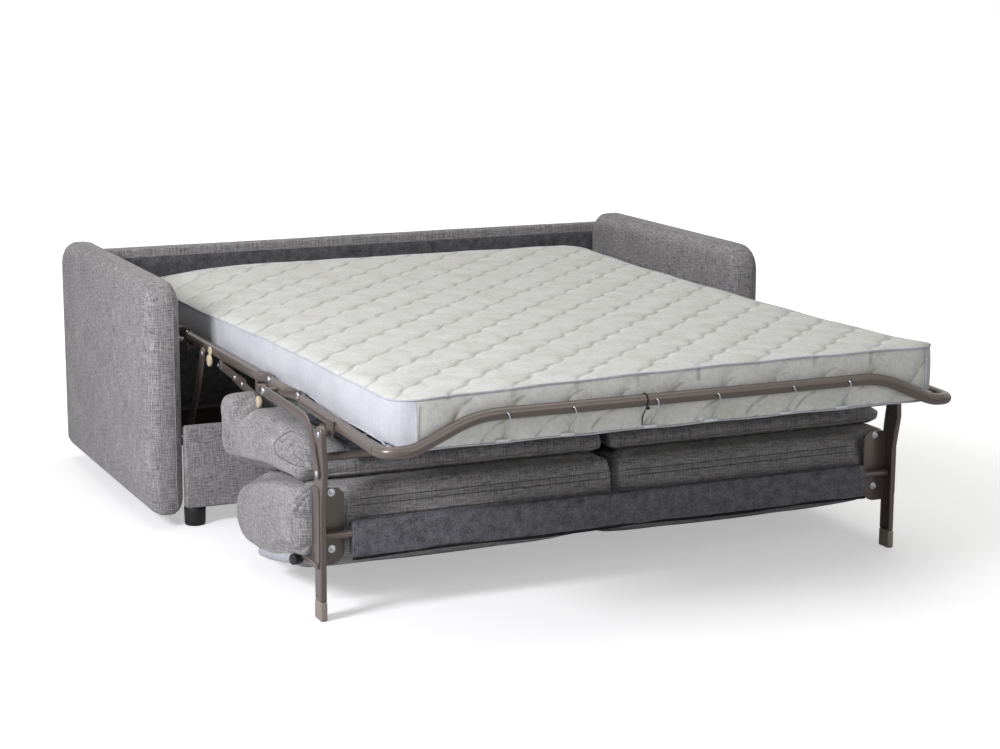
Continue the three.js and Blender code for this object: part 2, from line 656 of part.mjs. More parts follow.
add('upper_crossbar', rod([-barX, highBar.y, highBar.z], [barX, highBar.y, highBar.z], highBar.radius, 14),
  paint);
const ease = (x) => Math.min(1, Math.max(0, x / cushion.ramp));
const crownShare = 0.7;
const along = (s) => cushion.crown * Math.sin(Math.PI * s) ** crownShare;
const backCrown = (p, s) => along(s) * ease(cushion.backTop - p[1]) * ease(p[0] - cushion.backFront);
const seatCrown = (p, s) => along(s) * ease(p[0] - cushion.seatBack);
function padded(outline, count, swell) {
  const c = cushion;
  return carry(smoothClosed(outline, count), c.split, c.halfWidth,
    { round0: c.splitRound, round1: c.endRound, ring: 4, middle: 6, swell, shrink: true }, alongX);
}
pair('back_cushion', padded(backOutline, 44, backCrown), weave);
add('back_felt', cut(
  carry(roundedOutline(felt.near, felt.far, felt.low, felt.high,
    [felt.edge, felt.edge, felt.edge, felt.edge], 3),
    -felt.halfWidth, felt.halfWidth, { middle: 1 }, alongX),
  rod([-leg.innerX, lowBar.y, lowBar.z], [leg.innerX, lowBar.y, lowBar.z], lowBar.channel, 16),
), feltPaint);

// Seat, folded under and upside down
pair('seat_cushion', padded(seatOutline, 52, seatCrown), weave);
add('seat_felt', carry(
  roundedOutline(seatFelt.near, seatFelt.far, seatFelt.low, seatFelt.high,
    [seatFelt.edge, seatFelt.edge, seatFelt.edge, seatFelt.edge], 3),
  -seatFelt.halfWidth, seatFelt.halfWidth, { middle: 1 }, alongX,
), feltPaint);

// Struts from the fold links to the legs
const strutLine = [strutPin, strutBend, strutFoot];
pair('strut', flatBar(strutLine, strut.width, strut.innerX, strut.innerX + strut.thick, 8), paint);
const railSide = tube.x + tube.radius;
pair('roller', rod([railSide + clear, roller.y, tube.z], [railSide + roller.thick, roller.y, tube.z],
  roller.radius, 16), nylon);

const group = new THREE.Group();
group.name = 'sleeper_sofa';
parts.forEach((m) => group.add(m));
export default group;
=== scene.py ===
"""Three-fold sleeper sofa, opened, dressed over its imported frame. Metres, Z up, foot of the bed towards -Y."""
import json
import math

import bmesh
import bpy
import numpy as np
from mathutils import Matrix, Vector
from mathutils.bvhtree import BVHTree

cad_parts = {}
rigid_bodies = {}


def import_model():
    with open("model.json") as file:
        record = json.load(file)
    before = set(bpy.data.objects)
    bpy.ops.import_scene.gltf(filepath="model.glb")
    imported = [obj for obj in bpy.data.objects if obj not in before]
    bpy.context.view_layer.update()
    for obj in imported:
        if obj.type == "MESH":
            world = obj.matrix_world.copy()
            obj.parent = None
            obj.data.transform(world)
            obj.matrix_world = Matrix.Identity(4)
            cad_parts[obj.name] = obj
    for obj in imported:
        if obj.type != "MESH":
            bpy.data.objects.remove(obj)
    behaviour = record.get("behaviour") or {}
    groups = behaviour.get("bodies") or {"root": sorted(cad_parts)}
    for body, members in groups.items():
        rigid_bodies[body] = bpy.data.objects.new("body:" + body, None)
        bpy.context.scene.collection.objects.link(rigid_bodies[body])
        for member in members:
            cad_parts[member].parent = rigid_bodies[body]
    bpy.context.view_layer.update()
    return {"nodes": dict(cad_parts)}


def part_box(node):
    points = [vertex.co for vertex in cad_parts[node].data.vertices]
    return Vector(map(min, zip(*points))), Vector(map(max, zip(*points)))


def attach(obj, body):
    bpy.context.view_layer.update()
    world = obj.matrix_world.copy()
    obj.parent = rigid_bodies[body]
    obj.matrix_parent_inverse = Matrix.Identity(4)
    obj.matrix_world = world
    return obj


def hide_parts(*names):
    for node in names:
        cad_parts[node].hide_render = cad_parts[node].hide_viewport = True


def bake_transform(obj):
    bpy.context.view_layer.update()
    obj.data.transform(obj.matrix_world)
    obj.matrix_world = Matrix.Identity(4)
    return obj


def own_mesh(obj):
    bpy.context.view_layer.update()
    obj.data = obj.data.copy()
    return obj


bl_info = {
    "name": "Three-fold sleeper sofa",
    "version": (1, 0, 0),
    "blender": (4, 5, 0),
    "location": "View3D > Sidebar > Sofa",
    "description": "Builds the fabric, foam and steel of an opened sleeper sofa",
    "category": "Object",
}

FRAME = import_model()
SHIFT = 0.147  # depths are given from the front face of the arms


# Helpers
def linear(code):
    """An sRGB hex value as linear RGBA."""
    parts = (int(code[i:i + 2], 16) / 255 for i in (0, 2, 4))
    return tuple(c / 12.92 if c <= 0.04045 else ((c + 0.055) / 1.055) ** 2.4 for c in parts) + (1.0,)


def put(tree, kind, sockets=None, **settings):
    """Adds a shader node, with its settings and with values or links on its sockets."""
    made = tree.nodes.new("ShaderNode" + kind)
    for key, value in settings.items():
        setattr(made, key, value)
    for key, value in (sockets or {}).items():
        if isinstance(value, bpy.types.NodeSocket):
            tree.links.new(value, made.inputs[key])
        else:
            made.inputs[key].default_value = value
    return made


def fresh(name):
    """An empty material's tree and its shader."""
    mat = bpy.data.materials.new(name)
    mat.use_nodes = True
    tree = mat.node_tree
    tree.nodes.clear()
    shader = put(tree, "BsdfPrincipled")
    put(tree, "OutputMaterial", {"Surface": shader.outputs[0]})
    return mat, tree, shader


def deselect():
    if bpy.context.object and bpy.context.object.mode != "OBJECT":
        bpy.ops.object.mode_set(mode="OBJECT")
    bpy.ops.object.select_all(action="DESELECT")


def only(obj):
    deselect()
    bpy.context.view_layer.objects.active = obj
    obj.select_set(True)
    return obj


def named(name):
    obj = bpy.context.object
    obj.name = obj.data.name = name
    return obj


def points(obj):
    co = np.empty(len(obj.data.vertices) * 3)
    obj.data.vertices.foreach_get("co", co)
    return co.reshape(-1, 3)


def set_points(obj, co):
    obj.data.vertices.foreach_set("co", np.asarray(co, float).ravel())
    obj.data.update()


def pick(obj, mode, test):
    """Enters edit mode with only the vertices, edges or faces chosen whose centre passes the test."""
    only(obj)
    bpy.ops.object.mode_set(mode="EDIT")
    bpy.ops.mesh.select_mode(type=mode)
    bpy.ops.mesh.select_all(action="DESELECT")
    shape = bmesh.from_edit_mesh(obj.data)
    for item in {"VERT": shape.verts, "EDGE": shape.edges, "FACE": shape.faces}[mode]:
        if test(item):
            item.select_set(True)
    shape.select_flush_mode()
    bmesh.update_edit_mesh(obj.data)


def leave():
    bpy.ops.object.mode_set(mode="OBJECT")


def settle(obj):
    """Puts the object's place into its mesh."""
    only(obj)
    bpy.ops.object.transform_apply(location=True, rotation=True, scale=True)
    return obj


def smooth(obj, angle=40):
    only(obj)
    bpy.ops.object.shade_smooth_by_angle(angle=math.radians(angle))
    return obj


def block(name, lo, hi, round_, segments=3):
    """A block with all its edges rounded."""
    deselect()
    bpy.ops.mesh.primitive_cube_add(size=1, location=[(a + b) / 2 for a, b in zip(lo, hi)],
                                    scale=[b - a for a, b in zip(lo, hi)])
    obj = settle(named(name))
    pick(obj, "EDGE", lambda e: True)
    bpy.ops.mesh.bevel(offset=round_, segments=segments, profile=0.5, affect="EDGES")
    leave()
    return smooth(obj)


def bar(name, start, end, radius, steps=1, sides=24, chamfer=0.0):
    """A round bar pulled from a disc in steps, then laid from start to end."""
    start, end = Vector(start), Vector(end)
    length = (end - start).length
    deselect()
    bpy.ops.mesh.primitive_circle_add(vertices=sides, radius=radius, fill_type="NGON")
    obj = named(name)
    bpy.ops.object.mode_set(mode="EDIT")
    bpy.ops.mesh.select_all(action="SELECT")
    bpy.ops.mesh.flip_normals()
    for _ in range(steps):
        bpy.ops.mesh.extrude_region_move(TRANSFORM_OT_translate={"value": (0, 0, length / steps)})
    if chamfer:
        leave()
        rim = {0.0, length}
        pick(obj, "EDGE", lambda e: all(min(abs(v.co.z - r) for r in rim) < 1e-6 for v in e.verts))
        bpy.ops.mesh.bevel(offset=chamfer, segments=2, affect="EDGES")
    bpy.ops.mesh.select_all(action="SELECT")
    bpy.ops.mesh.normals_make_consistent(inside=False)
    leave()
    obj.matrix_world = Matrix.Translation(start) @ (end - start).to_track_quat("Z", "Y").to_matrix().to_4x4()
    return smooth(settle(obj))


def plate(name, outline, x0, x1, round_=0.0008):
    """A plate cut to an outline of depth and height, pulled between two side distances."""
    deselect()
    bpy.ops.mesh.primitive_circle_add(vertices=len(outline), radius=0.1, fill_type="NGON")
    obj = named(name)
    set_points(obj, [(x0, y, z) for y, z in outline])
    bpy.ops.object.mode_set(mode="EDIT")
    bpy.ops.mesh.select_all(action="SELECT")
    bpy.ops.mesh.extrude_region_move(TRANSFORM_OT_translate={"value": (x1 - x0, 0, 0)})
    bpy.ops.mesh.select_all(action="SELECT")
    bpy.ops.mesh.normals_make_consistent(inside=False)
    leave()
    if round_:
        pick(obj, "EDGE", lambda e: e.calc_face_angle(0) > 0.9)
        bpy.ops.mesh.bevel(offset=round_, segments=2, affect="EDGES")
        leave()
    return smooth(obj)


def strip_outline(line, width, steps=8):
    """The outline of a flat bar with round ends along a line of depth and height."""
    line = [Vector(p) for p in line]
    r = width / 2
    left, right = [], []
    for i, p in enumerate(line):
        back = (p - line[i - 1]).normalized() if i else (line[1] - p).normalized()
        on = (line[i + 1] - p).normalized() if i + 1 < len(line) else back
        along = (back + on).normalized()
        side = Vector((-along.y, along.x)) * (r / max(0.5, along.dot(on)))
        left.append(p + side)
        right.append(p - side)
    d0, d1 = (line[0] - line[1]).normalized(), (line[-1] - line[-2]).normalized()
    head = [line[-1] + Vector((math.cos(t), math.sin(t))) * r
            for t in [math.atan2(d1.y, d1.x) + math.pi / 2 - math.pi * k / steps for k in range(1, steps)]]
    tail = [line[0] + Vector((math.cos(t), math.sin(t))) * r
            for t in [math.atan2(d0.y, d0.x) + math.pi / 2 - math.pi * k / steps for k in range(1, steps)]]
    return [tuple(p) for p in left + head + right[::-1] + tail]


def tube(name, path, radius, bend=0.0, sides=6, cyclic=False, caps=True):
    """A round tube bent along a path, with filleted corners."""
    path = [Vector(p) for p in path]
    line = []
    for i, p in enumerate(path):
        if bend and (cyclic or 0 < i < len(path) - 1):
            a, b = path[i - 1] - p, path[(i + 1) % len(path)] - p
            reach = min(bend, a.length / 2.05, b.length / 2.05)
            p0, p1 = p + a.normalized() * reach, p + b.normalized() * reach
            for k in range(9):
                t = k / 8
                line.append(p0 * (1 - t) ** 2 + p * 2 * t * (1 - t) + p1 * t * t)
        else:
            line.append(p)
    deselect()
    bpy.ops.curve.primitive_nurbs_path_add()
    obj = named(name)
    curve = obj.data
    curve.splines.clear()
    run = curve.splines.new("POLY")
    run.points.add(len(line) - 1)
    run.points.foreach_set("co", [c for p in line for c in (*p, 1)])
    run.use_cyclic_u = cyclic
    curve.dimensions = "3D"
    curve.bevel_depth = radius
    curve.bevel_resolution = sides
    curve.use_fill_caps = caps and not cyclic
    bpy.ops.object.convert(target="MESH")
    return smooth(bpy.context.object, 50)


def joined(name, parts):
    deselect()
    for p in parts:
        p.select_set(True)
    bpy.context.view_layer.objects.active = parts[0]
    if len(parts) > 1:
        bpy.ops.object.join()
    return named(name)


def mirrored(obj, name):
    """The other side's copy, with its own mesh."""
    twin = obj.copy()
    twin.data = obj.data.copy()
    bpy.context.scene.collection.objects.link(twin)
    twin.name = twin.data.name = name
    twin.data.transform(Matrix.Scale(-1, 4, (1, 0, 0)))
    only(twin)
    bpy.ops.object.mode_set(mode="EDIT")
    bpy.ops.mesh.select_all(action="SELECT")
    bpy.ops.mesh.flip_normals()
    leave()
    return twin


def lay_cloth(obj):
    """A UV map in metres, laid on each face from the side that it faces most."""
    mesh = obj.data
    while mesh.uv_layers:
        mesh.uv_layers.remove(mesh.uv_layers[0])
    layer = mesh.uv_layers.new(name="cloth")
    n = len(mesh.polygons)
    normals = np.empty(n * 3)
    mesh.polygons.foreach_get("normal", normals)
    side = np.abs(normals.reshape(-1, 3)).argmax(1)
    totals = np.empty(n, int)
    mesh.polygons.foreach_get("loop_total", totals)
    owner = np.empty(len(mesh.loops), int)
    mesh.loops.foreach_get("vertex_index", owner)
    co = points(obj)[owner]
    side = np.repeat(side, totals)
    u = np.where(side == 0, co[:, 1], co[:, 0])
    v = np.where(side == 2, co[:, 1], co[:, 2])
    layer.data.foreach_set("uv", np.stack([u, v], 1).ravel())


def finish_piece(obj, body, material, nodes=(), cloth=False):
    if cloth:
        lay_cloth(obj)
    if material is not None:
        obj.data.materials.clear()
        obj.data.materials.append(material)
    if body:
        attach(obj, body)
    if nodes:
        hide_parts(*nodes)
    return obj


def both_sides(obj, stem, body, material, nodes=(), cloth=False):
    """Finishes a right-hand piece and its left-hand copy."""
    obj.name = obj.data.name = stem + "_right"
    twin = mirrored(obj, stem + "_left")
    for piece, side in ((obj, "_right"), (twin, "_left")):
        finish_piece(piece, body, material, [n + side for n in nodes], cloth)
    return obj, twin


def smooth_step(value, start, end):
    t = np.clip((value - start) / (end - start), 0, 1)
    return t * t * (3 - 2 * t)


def ripple(co, seed, size, reach):
    """Soft irregular pulls in upholstery, from a few seeded waves."""
    rng = np.random.default_rng(seed)
    total = np.zeros(len(co))
    for _ in range(9):
        way = rng.normal(size=3)
        way /= np.linalg.norm(way) * size * rng.uniform(0.7, 1.9)
        total += np.sin(co @ way * 2 * math.pi + rng.uniform(0, 6.3))
    return total / 9 * reach


# Settings
class SofaColours(bpy.types.PropertyGroup):
    """The finishes' main colours."""

    fabric_dark: bpy.props.FloatVectorProperty(
        name="Fabric shade", description="Dark yarn of the melange fabric", subtype="COLOR", size=4,
        min=0, max=1, default=linear("59585a"))
    fabric_light: bpy.props.FloatVectorProperty(
        name="Fabric light", description="Light yarn of the melange fabric", subtype="COLOR", size=4,
        min=0, max=1, default=linear("aeacab"))
    ticking: bpy.props.FloatVectorProperty(
        name="Mattress cover", description="Quilted cover of the mattress", subtype="COLOR", size=4,
        min=0, max=1, default=linear("dbdcd9"))
    paint: bpy.props.FloatVectorProperty(
        name="Steel paint", description="Taupe enamel of the folding frame", subtype="COLOR", size=4,
        min=0, max=1, default=linear("675d58"))
    felt: bpy.props.FloatVectorProperty(
        name="Felt", description="Needled felt under the seat and backrest", subtype="COLOR", size=4,
        min=0, max=1, default=linear("46464a"))


class SofaSizes(bpy.types.PropertyGroup):
    """The sizes that a user would change."""

    quilt_pitch: bpy.props.FloatProperty(
        name="Quilt pitch", description="Distance between two lines of quilting", unit="LENGTH",
        min=0.05, max=0.3, default=0.1085)
    quilt_depth: bpy.props.FloatProperty(
        name="Quilt depth", description="How deep the stitched lines lie", unit="LENGTH",
        min=0.0, max=0.02, default=0.0075)
    thread_pitch: bpy.props.FloatProperty(
        name="Thread pitch", description="Distance between two drawn threads of the fabric", unit="LENGTH",
        min=0.0005, max=0.01, default=0.0023)
    cushion_rise: bpy.props.FloatProperty(
        name="Cushion rise", description="The most that a cushion's surface may swell", unit="LENGTH",
        min=0.0, max=0.03, default=0.013)


MATERIALS = {}


def melange_fabric(name, dark, light, contrast=1.0):
    """Polyester melange upholstery weave: crossed dark and light yarns with slubs, matt, faintly fuzzy."""
    pitch = bpy.context.scene.sofa_sizes.thread_pitch  # real threads lie 1 mm apart, drawn coarser to show
    mat, tree, shader = fresh(name)
    uv = put(tree, "UVMap", uv_map="cloth").outputs[0]
    warp_at = put(tree, "Mapping", {"Vector": uv, "Scale": (1 / pitch, 1 / (pitch * 17), 1)})
    weft_at = put(tree, "Mapping", {"Vector": uv, "Scale": (1 / (pitch * 15), 1 / pitch, 1), "Location": (7.3, 2.1, 0)})
    warp = put(tree, "TexNoise", {"Vector": warp_at.outputs[0], "Scale": 1.0, "Detail": 2.0, "Roughness": 0.65},
               noise_dimensions="2D")
    weft = put(tree, "TexNoise", {"Vector": weft_at.outputs[0], "Scale": 1.0, "Detail": 2.0, "Roughness": 0.65},
               noise_dimensions="2D")
    fleck = put(tree, "TexNoise", {"Vector": uv, "Scale": 0.45 / pitch, "Detail": 3.0, "Roughness": 0.7},
                noise_dimensions="2D")
    drift = put(tree, "TexNoise", {"Vector": uv, "Scale": 9.0, "Detail": 2.0}, noise_dimensions="2D")
    crossed = put(tree, "Math", {0: warp.outputs[0], 1: weft.outputs[0]}, operation="ADD")
    flecked = put(tree, "Math", {0: fleck.outputs[0], 1: 0.55, 2: crossed.outputs[0]}, operation="MULTIPLY_ADD")
    drifted = put(tree, "Math", {0: drift.outputs[0], 1: 0.22, 2: flecked.outputs[0]}, operation="MULTIPLY_ADD")
    mid, reach = 1.385, 0.36 / contrast
    share = put(tree, "MapRange", {"Value": drifted.outputs[0], "From Min": mid - reach, "From Max": mid + reach})
    colour = put(tree, "Mix", {"Factor": share.outputs[0], "A": dark, "B": light}, data_type="RGBA")
    tree.links.new(colour.outputs["Result"], shader.inputs["Base Color"])
    bump = put(tree, "Bump", {"Height": flecked.outputs[0], "Strength": 0.35, "Distance": 0.0011})
    tree.links.new(bump.outputs[0], shader.inputs["Normal"])
    shader.inputs["Roughness"].default_value = 0.92
    shader.inputs["Sheen Weight"].default_value = 0.12
    shader.inputs["Sheen Roughness"].default_value = 0.5
    shader.inputs["Specular IOR Level"].default_value = 0.25
    return mat


def needled_felt(name, colour, speckle):
    """Needle-punched polyester felt: matt, cloudy, with pale fibres."""
    mat, tree, shader = fresh(name)
    at = put(tree, "TexCoord").outputs["Object"]
    fibre = put(tree, "TexNoise", {"Vector": at, "Scale": 260.0, "Detail": 4.0, "Roughness": 0.75})
    cloud = put(tree, "TexNoise", {"Vector": at, "Scale": 45.0, "Detail": 3.0, "Roughness": 0.6})
    both = put(tree, "Math", {0: cloud.outputs[0], 1: 0.6, 2: fibre.outputs[0]}, operation="MULTIPLY_ADD")
    share = put(tree, "MapRange", {"Value": both.outputs[0], "From Min": 0.58, "From Max": 1.05})
    tone = put(tree, "Mix", {"Factor": share.outputs[0], "A": colour, "B": speckle}, data_type="RGBA")
    tree.links.new(tone.outputs["Result"], shader.inputs["Base Color"])
    bump = put(tree, "Bump", {"Height": fibre.outputs[0], "Strength": 0.4, "Distance": 0.0012})
    tree.links.new(bump.outputs[0], shader.inputs["Normal"])
    shader.inputs["Roughness"].default_value = 1.0
    shader.inputs["Specular IOR Level"].default_value = 0.15
    return mat


def knitted_ticking(name, colour, shade, rise=0.0006, quilted=False):
    """Knitted mattress ticking: soft off-white double jersey, finely pebbled, drawn in along its quilting, with painted
    shade along its stitched lines.
    """
    mat, tree, shader = fresh(name)
    uv = put(tree, "UVMap", uv_map="cloth").outputs[0]
    stitch_at = put(tree, "Mapping", {"Vector": uv, "Scale": (1, 0.55, 1)})
    stitch = put(tree, "TexVoronoi", {"Vector": stitch_at.outputs[0], "Scale": 280.0}, voronoi_dimensions="2D")
    soft = put(tree, "TexNoise", {"Vector": uv, "Scale": 90.0, "Detail": 4.0, "Roughness": 0.65},
               noise_dimensions="2D")
    wide = put(tree, "TexNoise", {"Vector": uv, "Scale": 14.0, "Detail": 3.0}, noise_dimensions="2D")
    cloud = put(tree, "Math", {0: wide.outputs[0], 1: 0.8, 2: soft.outputs[0]}, operation="MULTIPLY_ADD")
    share = put(tree, "MapRange", {"Value": cloud.outputs[0], "From Min": 0.62, "From Max": 1.15})
    tone = put(tree, "Mix", {"Factor": share.outputs[0], "A": shade, "B": colour}, data_type="RGBA")
    height = put(tree, "Math", {0: soft.outputs[0], 1: 1.6, 2: stitch.outputs["Distance"]}, operation="MULTIPLY_ADD")
    drawn, colour_out = height.outputs[0], tone.outputs["Result"]
    if quilted:
        # the map "quilt" counts the stitched lines of both families, which lie at its whole numbers; near each line the
        # colour is darkened as painted shade of the quilting's creases, most along the deeper family
        lines = put(tree, "SeparateXYZ", {0: put(tree, "UVMap", uv_map="quilt").outputs[0]})
        dark = None
        for axis, weight in (("X", 0.05), ("Y", 0.60)):
            away = put(tree, "Math", {0: lines.outputs[axis], 1: 0.5}, operation="PINGPONG")
            near = put(tree, "MapRange", {"Value": away.outputs[0], "From Min": 0.0, "From Max": 0.085,
                                          "To Min": weight, "To Max": 0.0}, interpolation_type="SMOOTHERSTEP")
            dark = near.outputs[0] if dark is None else put(
                tree, "Math", {0: dark, 1: near.outputs[0]}, operation="MAXIMUM").outputs[0]
        broken = put(tree, "TexNoise", {"Vector": uv, "Scale": 26.0, "Detail": 2.0}, noise_dimensions="2D")
        uneven = put(tree, "MapRange", {"Value": broken.outputs[0], "From Min": 0.3, "From Max": 0.62,
                                        "To Min": 0.15, "To Max": 1.0})
        sewn = put(tree, "Math", {0: dark, 1: uneven.outputs[0]}, operation="MULTIPLY")
        # painted shade: the colour turns to a darker grey along the lines, where the creases' shade falls
        colour_out = put(tree, "Mix", {"Factor": sewn.outputs[0], "A": colour_out, "B": linear("8f8f88")},
                         data_type="RGBA").outputs["Result"]
        drawn = put(tree, "Math", {0: sewn.outputs[0], 1: -2.5, 2: drawn}, operation="MULTIPLY_ADD").outputs[0]
    tree.links.new(colour_out, shader.inputs["Base Color"])
    bump = put(tree, "Bump", {"Height": drawn, "Strength": 0.5, "Distance": rise})
    tree.links.new(bump.outputs[0], shader.inputs["Normal"])
    shader.inputs["Roughness"].default_value = 0.85
    shader.inputs["Sheen Weight"].default_value = 0.08
    shader.inputs["Specular IOR Level"].default_value = 0.3
    return mat


def painted_steel(name, colour):
    """Powder-coated steel tube: taupe enamel with metal flake, glossy with a light orange peel."""
    mat, tree, shader = fresh(name)
    at = put(tree, "TexCoord").outputs["Object"]
    peel = put(tree, "TexNoise", {"Vector": at, "Scale": 420.0, "Detail": 2.0})
    worn = put(tree, "TexNoise", {"Vector": at, "Scale": 26.0, "Detail": 4.0, "Roughness": 0.6})
    darker = tuple(c * 0.8 for c in colour[:3]) + (1.0,)
    tone = put(tree, "Mix", {"Factor": worn.outputs[0], "A": darker, "B": colour}, data_type="RGBA")
    tree.links.new(tone.outputs["Result"], shader.inputs["Base Color"])
    rough = put(tree, "MapRange", {"Value": worn.outputs[0], "To Min": 0.26, "To Max": 0.42})
    tree.links.new(rough.outputs[0], shader.inputs["Roughness"])
    bump = put(tree, "Bump", {"Height": peel.outputs[0], "Strength": 0.12, "Distance": 0.0003})
    tree.links.new(bump.outputs[0], shader.inputs["Normal"])
    shader.inputs["Metallic"].default_value = 0.25
    shader.inputs["Coat Weight"].default_value = 0.12
    shader.inputs["Coat Roughness"].default_value = 0.18
    return mat


def plain_surface(name, colour, metallic, low, high, grain, depth):
    """A moulded, turned or plated surface: even colour, roughness that drifts, a fine grain."""
    mat, tree, shader = fresh(name)
    at = put(tree, "TexCoord").outputs["Object"]
    fine = put(tree, "TexNoise", {"Vector": at, "Scale": grain, "Detail": 3.0, "Roughness": 0.6})
    rough = put(tree, "MapRange", {"Value": fine.outputs[0], "To Min": low, "To Max": high})
    tree.links.new(rough.outputs[0], shader.inputs["Roughness"])
    darker = tuple(c * 0.85 for c in colour[:3]) + (1.0,)
    tone = put(tree, "Mix", {"Factor": fine.outputs[0], "A": darker, "B": colour}, data_type="RGBA")
    tree.links.new(tone.outputs["Result"], shader.inputs["Base Color"])
    bump = put(tree, "Bump", {"Height": fine.outputs[0], "Strength": 0.2, "Distance": depth})
    tree.links.new(bump.outputs[0], shader.inputs["Normal"])
    shader.inputs["Metallic"].default_value = metallic
    return mat


def pine(name):
    """Sawn pine batten stained black: matt, with a little of its long grain showing."""
    mat, tree, shader = fresh(name)
    at = put(tree, "TexCoord").outputs["Object"]
    along = put(tree, "Mapping", {"Vector": at, "Scale": (1.2, 22.0, 22.0)})
    rings = put(tree, "TexNoise", {"Vector": along.outputs[0], "Scale": 6.0, "Detail": 5.0, "Roughness": 0.6})
    tone = put(tree, "Mix", {"Factor": rings.outputs[0], "A": linear("14110f"), "B": linear("2a2420")},
               data_type="RGBA")
    tree.links.new(tone.outputs["Result"], shader.inputs["Base Color"])
    shader.inputs["Roughness"].default_value = 0.7
    return mat


class SOFA_OT_finishes(bpy.types.Operator):
    """Mixes the fabrics, steel paint and plastics."""

    bl_idname = "sofa.finishes"
    bl_label = "Finishes"

    def execute(self, context):
        tint = context.scene.sofa_colours
        m = MATERIALS
        m["fabric"] = melange_fabric("melange_upholstery_weave", tint.fabric_dark, tint.fabric_light)
        m["ticking"] = knitted_ticking("knitted_quilt_ticking_shaded_lines", tint.ticking, linear("c6c6bf"), quilted=True)
        # the long sides' smooth jersey is a cloth of its own, but its cool blue tint is painted light, standing for the
        # cool key light on those sides
        m["border"] = knitted_ticking("smooth_border_jersey_light_tinted", linear("c9cacf"), linear("bcbec5"), 0.0003)
        m["tape"] = knitted_ticking("woven_edge_tape", linear("c3c5cb"), linear("a9abb3"), 0.0002)
        m["felt"] = needled_felt("needled_felt", tint.felt, linear("7e7e83"))
        m["lining"] = needled_felt("charcoal_nonwoven_lining", linear("39393b"), linear("747476"))
        m["piping"] = needled_felt("black_edge_binding", linear("161618"), linear("2a2a2d"))
        m["thread"] = plain_surface("dark_grey_thread", linear("5c5c5e"), 0.0, 0.7, 0.9, 900.0, 0.0001)
        m["paint"] = painted_steel("taupe_enamel_on_steel", tint.paint)
        m["hem"] = knitted_ticking("pale_hem_lining", linear("b4b5ba"), linear("9fa1a7"), 0.0004)
        m["zinc"] = plain_surface("zinc_plated_steel", linear("c9ccd1"), 1.0, 0.22, 0.4, 300.0, 0.0001)
        m["cap"] = plain_surface("moulded_taupe_polypropylene", linear("948a80"), 0.0, 0.4, 0.55, 500.0, 0.0002)
        m["black"] = plain_surface("moulded_black_polypropylene", linear("121214"), 0.0, 0.3, 0.45, 500.0, 0.0002)
        m["nylon"] = plain_surface("turned_cream_nylon", linear("d6c8ab"), 0.0, 0.35, 0.5, 400.0, 0.0001)
        m["clip"] = plain_surface("clear_hook_plastic", linear("dfe3e8"), 0.0, 0.15, 0.3, 300.0, 0.0001)
        m["wire"] = plain_surface("galvanised_wire", linear("a9acb1"), 0.9, 0.35, 0.5, 300.0, 0.0001)
        m["stained"] = pine("black_stained_pine")
        return {"FINISHED"}


# Upholstered body
def upholstered(name, lo, hi, corner, edge, bulge, seed, corner_at=lambda a, b: True, pull=0.0012):
    """A foamed and covered board: outline corners rounded first, then its two faces' edges, then filled out."""
    deselect()
    bpy.ops.mesh.primitive_cube_add(size=1, location=[(a + b) / 2 for a, b in zip(lo, hi)],
                                    scale=[b - a for a, b in zip(lo, hi)])
    obj = settle(named(name))
    pick(obj, "EDGE", lambda e: abs(e.verts[0].co.x - e.verts[1].co.x) > 1e-6
         and corner_at(e.verts[0].co.y, e.verts[0].co.z))
    bpy.ops.mesh.bevel(offset=corner, segments=10, affect="EDGES")
    leave()
    pick(obj, "EDGE", lambda e: abs(e.verts[0].co.x - e.verts[1].co.x) < 1e-6)
    bpy.ops.mesh.bevel(offset=edge, segments=7, affect="EDGES")
    leave()
    only(obj)
    sheet = obj.modifiers.new("even", "REMESH")
    sheet.mode, sheet.voxel_size = "VOXEL", 0.0095
    bpy.ops.object.modifier_apply(modifier=sheet.name)
    relax = obj.modifiers.new("relax", "SMOOTH")
    relax.iterations, relax.factor = 4, 0.5
    bpy.ops.object.modifier_apply(modifier=relax.name)
    co = points(obj)
    lo, hi = Vector(lo), Vector(hi)
    share = (co - np.array(lo)) / np.array(hi - lo)
    full = np.sin(math.pi * np.clip(share[:, 1], 0, 1)) ** 0.5 * np.sin(math.pi * np.clip(share[:, 2], 0, 1)) ** 0.5
    out = np.sign(share[:, 0] - 0.5) * np.clip(np.abs(share[:, 0] - 0.5) * 4 - 1, 0, 1)
    co[:, 0] += out * (full * bulge + ripple(co, seed, 0.35, pull))
    set_points(obj, co)
    return smooth(obj, 70)


